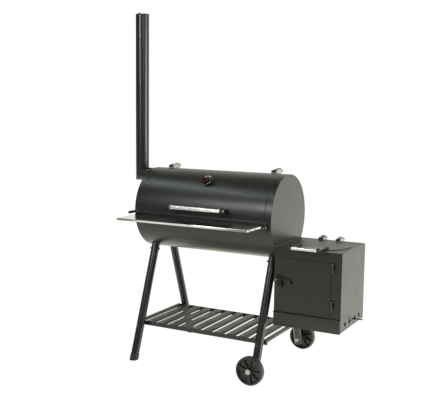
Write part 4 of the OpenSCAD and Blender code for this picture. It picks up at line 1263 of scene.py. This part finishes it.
@dataclass
class Wheel:
    """One ribbed plastic wheel on its own axle bolt."""

    side: int
    name: str
    x: float = 0.3285
    y: float = 0.308
    radius: float = 0.066
    width: float = 0.032
    ribs: int = 9
    treads: int = 60

    def build(self) -> None:
        """Builds the rim, web, ribs, tread and hub as one piece."""
        r, h = self.radius, self.width / 2
        at = y_axis(self.x, self.side * self.y, FLOOR_Z + r, self.side)
        web = r - 0.010
        form = Form().lathe([(0.0052, -0.026), (0.0125, -0.026), (0.013, -0.025), (0.0138, -0.006), (0.018, -0.003),
                             (web - 0.004, -0.003), (web, -0.006), (web, -h + 0.001), (web + 0.001, -h),
                             (r - 0.004, -h), (r - 0.0008, -h + 0.0032), (r, -h + 0.007), (r, h - 0.007),
                             (r - 0.0008, h - 0.0032), (r - 0.004, h), (web + 0.001, h), (web, h - 0.001),
                             (web, 0.006), (web - 0.004, 0.003), (0.018, 0.003), (0.0138, 0.006), (0.013, h + 0.001),
                             (0.0125, h + 0.002), (0.0052, h + 0.002)], at, 72, closed=True)
        rib = Form().box((0.012, -0.0013, -h + 0.003), (web + 0.0006, 0.0013, h - 0.003), at)
        rib.soften(0.0005, 1)
        middle = HOME + Vector((self.x, self.side * self.y, FLOOR_Z + r))
        ribs = GROW.wreath.grow(rib.mesh("rib", Finishes.WHEEL), "ribs", Finishes.WHEEL, Count=self.ribs,
                                Middle=tuple(middle))
        form.take(ribs)
        block = Form().box((r - 0.0012, -0.0016, -h + 0.0072), (r, 0.0016, h - 0.0072), at)
        treads = GROW.wreath.grow(block.mesh("tread", Finishes.WHEEL), "treads", Finishes.WHEEL,
                                  Count=self.treads, Middle=tuple(middle))
        form.take(treads)
        form.piece(f"{self.name}_moulding", Finishes.WHEEL, self.name, self.name, 30)


@dataclass
class Axles:
    """The axle bolts, their caps and spacers."""

    x: float = 0.3285
    z: float = 0.0605
    cap_y: float = 0.3265
    body: str = "smoker"

    def build(self) -> None:
        """Builds the axle bolts' looks."""
        refined("axle_bolts", Finishes.ZINC, self.body, 30)
        refined("axle_spacers", Finishes.ZINC, self.body, 30)
        form = Form()
        for side in (-1, 1):
            at = y_axis(self.x, side * self.cap_y, self.z, side)
            form.lathe([(0.0, 0.0), (0.0119, 0.0), (0.0122, 0.0008), (0.0122, 0.003), (0.0108, 0.005), (0.006, 0.006),
                        (0.0052, 0.0058), (0.0048, 0.0045), (0.0, 0.0045)], at, 40)
        form.trim("axle_caps", Finishes.STAINLESS, self.body, "zinc_hardware", 40)


@dataclass
class Rack:
    """The slatted rack between the legs."""

    half_x: float = 0.352
    half_y: float = 0.1885
    top: float = 0.172
    fold: float = 0.012
    pitch: float = 0.0641
    gap: float = 0.0255
    count: int = 10
    sheet: float = 0.0015
    body: str = "smoker"

    def slat(self, x0: float, x1: float) -> Form:
        """Returns one slat: a flat strip with both long edges folded down."""
        s, z = self.sheet, self.top
        r = 0.0018
        outline = [(x0, z - self.fold), (x0, z - r), (x0 + r * 0.3, z - r * 0.3), (x0 + r, z), (x1 - r, z),
                   (x1 - r * 0.3, z - r * 0.3), (x1, z - r), (x1, z - self.fold), (x1 - s, z - self.fold),
                   (x1 - s, z - r), (x1 - r, z - s), (x0 + r, z - s), (x0 + s, z - r), (x0 + s, z - self.fold)]
        return Form().prism(outline, 2 * self.half_y, upright(y=-self.half_y))

    def build(self) -> None:
        """Builds slats, rails and rivets."""
        wide = self.pitch - self.gap
        first = -(self.count - 1) / 2 * self.pitch
        one = self.slat(first - wide / 2, first + wide / 2).mesh("one_slat", Finishes.SLAT)
        slats = GROW.row.grow(one, "rack_slat_row", Finishes.SLAT, 25, Count=self.count, Step=(self.pitch, 0.0, 0.0))
        add_piece(slats, self.body, ("rack_slats",))
        edge = -first + wide / 2 + self.gap
        form = self.slat(edge, self.half_x)
        other = self.slat(-self.half_x, -edge).mesh("other", Finishes.SLAT)
        form.take(other)
        form.piece("rack_end_strips", Finishes.SLAT, self.body, "rack_end_slats", 25)
        for node in ("rack_front_rail", "rack_rear_rail"):
            refined(node, Finishes.TUBE, self.body, 20, 0.0004)
        refined("rack_rivets", Finishes.ZINC, self.body, 30)
        middles = [first + k * self.pitch for k in range(self.count)]
        middles += [(edge + self.half_x) / 2, -(edge + self.half_x) / 2]
        spots = [((x, s * (self.half_y - 0.010), self.top + 0.0002), (0, 0, 1)) for x in middles for s in (-1, 1)]
        GROW.dome.on(spots, "rack_rivet_heads", Finishes.ZINC, 0.0042, self.body)
        self.corner_blocks()

    def corner_blocks(self) -> None:
        """Adds the plastic end plugs under the rack's corners."""
        form = Form()
        for sx in (-1, 1):
            for sy in (-1, 1):
                x0, x1 = sorted((sx * (self.half_x - 0.014), sx * self.half_x))
                y0, y1 = sorted((sy * (self.half_y - 0.001), sy * (self.half_y - 0.015)))
                form.box((x0, y0, self.top - 0.021), (x1, y1, self.top - 0.0125))
        form.soften(0.002, 2)
        form.trim("rack_corner_plugs", Finishes.FOOT, self.body, "black_plastic")


# ---------------------------------------------------------------------- firebox


@dataclass
class Firebox:
    """The firebox with its lid, door, latch, ash drawer and vent."""

    x0: float = 0.3725
    x1: float = 0.6945
    half_y: float = 0.159
    z0: float = 0.248
    z1: float = 0.606
    door_x: Pair = (0.4105, 0.6435)
    door_z: Pair = (0.3125, 0.559)
    latch: Pair = (0.450, 0.448)
    body: str = "smoker"

    @property
    def middle(self) -> float:
        """The middle of the firebox along the barrel axis."""
        return (self.x0 + self.x1) / 2

    def build(self) -> None:
        """Builds every piece of the firebox."""
        refined("firebox_body", Finishes.BODY_SHADED, self.body, 4)
        refined("firebox_flange_bolts", Finishes.DARK_STEEL, self.body, 30)
        bead = [(self.x0 - 0.0022, side * (self.half_y - 0.004), self.z1 + 0.0002) for side in (-1, 1)]
        GROW.weld.along(bead, "firebox_top_weld", 0.0021, seed=21)
        self.fire_grate()
        self.lid()
        self.door()
        self.latch_pieces()
        self.drawer()
        self.vent()

    def fire_grate(self) -> None:
        """Builds the cast grate that the wood burns on."""
        low, high, y = self.x0 + 0.006, self.x1 - 0.006, self.half_y - 0.016
        z = self.z0 + 0.090 - 0.0017
        form = Form()
        for side in (-1, 1):
            a, b = sorted((side * y - 0.004, side * y + 0.004))
            form.box((low, a, z), (high, b, z + 0.008))
        form.soften(0.0012, 2)
        step = (high - low - 0.007) / 13
        bar = Form().prism([(low, z), (low + 0.007, z), (low + 0.0065, z + 0.008), (low + 0.0005, z + 0.008)],
                           2 * y, upright(y=-y))
        bar.soften(0.0008, 1)
        bars = GROW.row.grow(bar.mesh("bar", Finishes.CAST), "bars", Finishes.CAST, Count=14, Step=(step, 0.0, 0.0))
        form.take(bars)
        form.piece("fire_grate_bars", Finishes.CAST, self.body, "fire_grate")

    def lid(self) -> None:
        """Builds the round lid, its hinges and its handle."""
        body, r, z = "firebox_lid", 0.141, self.z1 + 0.0003
        at = Matrix.Translation((self.middle, 0, z))
        form = Form().lathe([(0.0, 0.0), (r - 0.0006, 0.0), (r, 0.0006), (r, 0.0022), (r - 0.0008, 0.003),
                             (0.0, 0.003)], at, 120)
        form.lathe([(r - 0.015, -0.007), (r - 0.015, 0.001), (r - 0.017, 0.001), (r - 0.017, -0.007)], at, 96,
                   closed=True)
        form.piece("firebox_lid_disc", Finishes.BODY_SHADED, body, "firebox_lid", 30)
        refined("fire_lid_hinge_arms", Finishes.ZINC, body, 20, 0.0004)
        refined("fire_lid_hinge_blocks", Finishes.FITTING, body, 20, 0.002)
        refined("fire_lid_hinge_knuckles", Finishes.ZINC, self.body, 20, 0.0006)
        spots = [((self.middle + m + s * 0.0152, 0.152, self.z1 + 0.012), (s, 0, 0)) for m in (-0.0435, 0.0435)
                 for s in (-1, 1)]
        GROW.dome.on(spots, "fire_pin_ends", Finishes.DARK_STEEL, 0.0045, self.body)
        half, y, hz, hr = 0.060, -0.205, self.z1 + 0.012, 0.009
        form = grip(half, hr, (self.middle, y, hz), half - 0.007, 0.0011, 36)
        form.piece("firebox_handle_bar", Finishes.STAINLESS, body, "fire_lid_handle_tube")
        refined("fire_lid_handle_arms", Finishes.FITTING, body, 20, 0.0016)
        spots = [((self.middle + s * 0.0655, -0.100, self.z1 + 0.0146), (0, 0, 1)) for s in (-1, 1)]
        spots += [((self.middle + s * 0.0655, -0.125, self.z1 + 0.0146), (0, 0, 1)) for s in (-1, 1)]
        GROW.pan.on(spots, "firebox_arm_screws", Finishes.DARK_STEEL, 0.0036, body)

    def door(self) -> None:
        """Builds the door with its folded edge, and its hinges."""
        body, y1, s = "firebox_door", -self.half_y - 0.0003, 0.0025
        (xa, xb), (za, zb) = self.door_x, self.door_z
        form = Form().prism(rounded(xb - xa, zb - za, 0.003), s, upright(xa, y1 - s, za))
        form.soften(0.0007, 2, 50)
        lip = [rounded(xb - xa - 0.024, zb - za - 0.024, 0.004), rounded(xb - xa - 0.028, zb - za - 0.028, 0.003)]
        form.rings([[Vector((xa + inset + u, y, za + inset + v)) for u, v in outline] for outline, inset, y in
                    ((lip[0], 0.012, y1 - 0.001), (lip[0], 0.012, y1 + 0.005), (lip[1], 0.014, y1 + 0.005),
                     (lip[1], 0.014, y1 - 0.001))], closed=True)
        form.piece("fire_door_sheet", Finishes.BODY_SHADED, body, "firebox_door", 20)
        for node, owner in (("door_moving_knuckles", body), ("door_fixed_knuckles", self.body)):
            refined(node, Finishes.FITTING, owner, 20, 0.0008)
        x, y = xb + 0.008, -self.half_y - 0.009
        ends = [((x, y, self.z0 + z), (0, 0, way)) for z, way in ((0.104, -1), (0.138, 1), (0.274, -1), (0.308, 1))]
        GROW.dome.on(ends, "door_pin_ends", Finishes.ZINC, 0.0042, self.body)
        screws = [((xb - 0.009, y1 - s - 0.0026, self.z0 + z), (0, -1, 0)) for z in (0.1295, 0.2995)]
        GROW.pan.on(screws, "door_strap_screws", Finishes.DARK_STEEL, 0.0026, body)
        fixed = [((x + 0.0098, -self.half_y - 0.0026, self.z0 + z), (0, -1, 0)) for z in (0.1125, 0.2825)]
        GROW.pan.on(fixed, "door_frame_screws", Finishes.DARK_STEEL, 0.0024, self.body)

    def latch_pieces(self) -> None:
        """Builds the hooked latch, its knob, keeper and screws."""
        x, z = self.latch
        y = -self.half_y - 0.0003 - 0.0025 - 0.00325
        dots = [(-64, 29), (-60, 29), (-35, 22.4), (-11, 16.4), (2, 13.4), (8.5, 10.4), (12.4, 6),
                (13.7, 0), (13.6, -6), (13.4, -10.4)]
        path = [Vector((x + u / 1000, y, z + v / 1000)) for u, v in smoothed(dots)]
        form = Form().sweep(path, 0.0031, 16, 0.55)
        form.lathe([(0.0031, -0.0017), (0.0068, -0.0017), (0.0068, 0.0017), (0.0031, 0.0017)], y_axis(x, y, z, -1), 32,
                   closed=True)
        form.box((x - 0.0028, y - 0.0015, z + 0.0045), (x + 0.0028, y + 0.0015, z + 0.0135))
        form.piece("latch_hook", Finishes.FITTING, "latch", "latch_arm", 40)
        kx, kz, ky = self.x0 + 0.032, self.z0 + 0.223, y - 0.00175 - 0.0115
        profile = [(0.0, -0.048), (0.006, -0.0478), (0.0096, -0.0458), (0.0112, -0.042), (0.0113, -0.038),
                   (0.0103, -0.031), (0.0083, -0.022), (0.0062, -0.013), (0.0049, -0.006), (0.0044, -0.0015),
                   (0.0036, -0.0003), (0.0, 0.0)]
        form = Form().lathe(profile, Matrix.Translation((kx, ky, kz)), 32)
        form.sweep([Vector((kx, ky, kz - 0.001)), Vector((kx, ky + 0.004, kz + 0.0006)),
                    Vector((kx, y - 0.001, kz + 0.0008))], 0.0026, 12)
        form.piece("latch_grip", Finishes.KNOB, "latch", "latch_knob", 50)
        refined("latch_pivot_screw", Finishes.DARK_STEEL, "firebox_door", 30)
        refined("latch_keeper", Finishes.FITTING, self.body, 20, 0.001)
        refined("keeper_screw", Finishes.ZINC, self.body, 30)
        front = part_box("keeper_screw")[0][1] - HOME.y
        spot = [((self.x0 + 0.011, front, self.z0 + 0.210), (0, -1, 0))]
        GROW.dome.on(spot, "keeper_screw_head", Finishes.ZINC, 0.0042, self.body)
        spot = [((x, -self.half_y - 0.0108, z), (0, -1, 0))]
        GROW.dome.on(spot, "latch_pivot_head", Finishes.DARK_STEEL, 0.0044, "firebox_door")

    def drawer(self) -> None:
        """Builds the ash drawer: a folded front with a lip, and a shallow pan."""
        body, y, top = "ash_drawer", -self.half_y - 0.0003, self.z0 + 0.060
        xa, xb = self.x0 + 0.001, self.x1 - 0.001
        low = self.z0 - 0.004
        front = [(y, low), (y, low + 0.002), (y - 0.004, low + 0.002), (y - 0.004, top - 0.002), (y, top - 0.002),
                 (y, top), (y - 0.0072, top), (y - 0.008, top - 0.0008), (y - 0.008, top - 0.0014),
                 (y - 0.0068, top - 0.0026), (y - 0.006, top - 0.0036), (y - 0.006, low + 0.0014),
                 (y - 0.0056, low + 0.0004), (y - 0.0046, low)]
        form = Form().prism(front, xb - xa, Matrix(((0, 0, 1, xa), (1, 0, 0, 0), (0, 1, 0, 0), (0, 0, 0, 1))))
        for x in (xa, xb - 0.002):
            form.box((x, y - 0.0045, low + 0.0005), (x + 0.002, y, top - 0.001))
        form.box((self.x0 - 0.003, y - 0.008, top - 0.002), (xa + 0.002, y - 0.0005, top))
        px, py, pz = (self.x0 + 0.008, self.x1 - 0.008), (y - 0.0045, self.half_y - 0.008), self.z0 + 0.0025
        s, h = 0.0015, 0.011
        outer = [(px[0], py[0]), (px[1], py[0]), (px[1], py[1]), (px[0], py[1])]
        inner = [(px[0] + s, py[0] + s), (px[1] - s, py[0] + s), (px[1] - s, py[1] - s), (px[0] + s, py[1] - s)]
        form.rings([level(outer, pz), level(outer, pz + h), level(inner, pz + h), level(inner, pz + s)])
        form.piece("ash_pan", Finishes.BODY_SHADED, body, "ash_drawer", 30)

    def vent(self) -> None:
        """Builds the vent slider's looks."""
        refined("vent_slider", Finishes.FITTING, "vent_slider", 30)


def smoothed(points: Sequence[Pair], steps: int = 5) -> list[Pair]:
    """Returns a smooth curve through points in a plane."""
    pts = [points[0], *points, points[-1]]
    out = []
    for k in range(1, len(pts) - 2):
        p0, p1, p2, p3 = (Vector(pts[k + d]) for d in (-1, 0, 1, 2))
        for j in range(steps):
            t = j / steps
            out.append(tuple(0.5 * ((2 * p1) + (p2 - p0) * t + (2 * p0 - 5 * p1 + 4 * p2 - p3) * t * t
                                    + (3 * p1 - p0 - 3 * p2 + p3) * t ** 3)))
    return out + [tuple(points[-1])]


# ------------------------------------------------------------------------ studio

FLOOR_RADIUS = 14


@dataclass
class Studio:
    """Floor, world, lights and camera."""

    eye: Spot = (1.7995, -3.3372, 1.2369)
    azimuth: float = 28.34
    pitch: float = 6.87
    roll: float = 0.67
    lens: float = 63.4

    def build(self) -> None:
        """Builds the studio."""
        self.floor()
        self.world()
        self.lights()
        self.camera()
        bpy.context.scene.view_settings.view_transform = "Standard"

    def floor(self) -> None:
        """Lays a plain pale floor."""
        material, n, shader = _start_material("pale_floor")
        shader.inputs["Base Color"].default_value = (0.8, 0.8, 0.78, 1.0)
        shader.inputs["Roughness"].default_value = 0.9
        glow = n.add("ShaderNodeEmission", {
            "Color": (1.0, 0.985, 0.89, 1.0),
            "Strength": self.towards_back(n, "Object", (-2.4, 1.6), (0.06, 1.25))})
        lit = n.add("ShaderNodeAddShader", {0: shader.outputs[0], 1: glow.outputs[0]})
        self.white_to_camera(n, "ShaderNodeEmission", lit)
        form = Form()
        form.bm.faces.new([form.bm.verts.new((FLOOR_RADIUS * c, FLOOR_RADIUS * s, 0)) for c, s in circle(64)])
        mesh = bpy.data.meshes.new("floor")
        form.bm.to_mesh(mesh)
        mesh.materials.append(material)
        floor = bpy.data.objects.new("floor", mesh)
        bpy.context.scene.collection.objects.link(floor)

    def world(self) -> None:
        """Surrounds the object with a studio that is bright behind it and dim in front."""
        world = bpy.data.worlds.new("studio")
        bpy.context.scene.world = world
        world.use_nodes = True
        n = Nodes(world.node_tree)
        for old in [x for x in world.node_tree.nodes if x.type == "BACKGROUND"]:
            world.node_tree.nodes.remove(old)
        lit = n.add("ShaderNodeBackground", {
            "Color": (1.0, 0.99, 0.9, 1.0),
            "Strength": self.towards_back(n, "Generated", (0.25, 0.85), (0.12, 1.0))})
        self.white_to_camera(n, "ShaderNodeBackground", lit)

    @staticmethod
    def towards_back(n: Nodes, coords: str, reach: Pair, strength: Pair) -> Socket:
        """Returns a strength that rises smoothly towards the back of the studio."""
        place = n.add("ShaderNodeTexCoord").outputs[coords]
        parts = n.add("ShaderNodeSeparateXYZ", {0: place})
        return n.remap(parts.outputs["Y"], reach, strength, "SMOOTHSTEP")

    @staticmethod
    def white_to_camera(n: Nodes, kind: str, lit: bpy.types.Node) -> None:
        """Shows plain white to the camera and the lit shader to every other ray."""
        seen = n.add(kind, {"Color": (1.0, 1.0, 1.0, 1.0), "Strength": 1.05})
        path = n.add("ShaderNodeLightPath").outputs["Is Camera Ray"]
        mix = n.add("ShaderNodeMixShader", {0: path, 1: lit.outputs[0], 2: seen.outputs[0]})
        out = next(x for x in n.tree.nodes if x.type in ("OUTPUT_MATERIAL", "OUTPUT_WORLD"))
        n.feed(out.inputs["Surface"], mix.outputs[0])

    def lights(self) -> None:
        """Hangs the soft boxes."""
        warm, plain, green = (1.0, 0.985, 0.9), (1.0, 0.98, 0.99), (0.86, 1.0, 0.92)
        for name, place, target, size, power, tint in (
                ("side_box", (3.6, 0.6, 1.1), (0.5, 0, 0.5), (1.6, 2.2), 110.0, warm),
                ("top_box", (1.8, 0.9, 3.2), (0.4, 0.0, 0.6), (1.6, 1.2), 30.0, warm),
                ("streak_box", (-1.35, -1.05, 3.1), (-0.1, -0.15, 0.86), (2.2, 0.22), 15.0, green),
                ("soft_box", (-0.9, -2.7, 2.0), (0.2, -0.19, 0.79), (0.9, 0.5), 26.0, plain),
                ("edge_box", (-1.7, -3.2, 0.25), (0.0, -0.39, 0.71), (1.5, 0.3), 1.3, plain),
                ("front_box", (2.3, -2.7, 2.2), (0.1, 0, 0.8), (0.35, 0.7), 16.0, plain)):
            lamp = bpy.data.lights.new(name, "AREA")
            lamp.shape, lamp.size, lamp.size_y, lamp.energy = "RECTANGLE", size[0], size[1], power
            lamp.color = tint
            holder = bpy.data.objects.new(name, lamp)
            aim = (Vector(target) - Vector(place)).to_track_quat("-Z", "Y")
            holder.matrix_world = Matrix.Translation(HOME + Vector(place)) @ aim.to_matrix().to_4x4()
            bpy.context.scene.collection.objects.link(holder)

    def camera(self) -> None:
        """Sets up the camera."""
        az, el, roll = (math.radians(a) for a in (self.azimuth, self.pitch, self.roll))
        ahead = Vector((-math.sin(az) * math.cos(el), math.cos(az) * math.cos(el), -math.sin(el)))
        level = Vector((math.cos(az), math.sin(az), 0.0))
        rise = level.cross(ahead)
        right = level * math.cos(roll) + rise * math.sin(roll)
        up = rise * math.cos(roll) - level * math.sin(roll)
        lens = bpy.data.cameras.new("camera")
        lens.lens, lens.sensor_width, lens.sensor_fit = self.lens, 36.0, "HORIZONTAL"
        camera = bpy.data.objects.new("camera", lens)
        turn = Matrix((right, up, -ahead)).transposed().to_4x4()
        camera.matrix_world = Matrix.Translation(HOME + Vector(self.eye)) @ turn
        bpy.context.scene.collection.objects.link(camera)
        bpy.context.scene.camera = camera


def main() -> None:
    """Builds the smoker piece by piece, then the studio."""
    logging.basicConfig(level=logging.INFO, format="%(name)s: %(message)s")
    barrel = Barrel()
    for part in (barrel, Thermometer(barrel=barrel), Chimney(), Shelf(), Stand(), Wheel(-1, "front_wheel"),
                 Wheel(1, "rear_wheel"), Axles(), Rack(), Firebox(), Studio()):
        part.build()
        LOG.info("%s done", type(part).__name__)


if __name__ == "__main__":
    main()
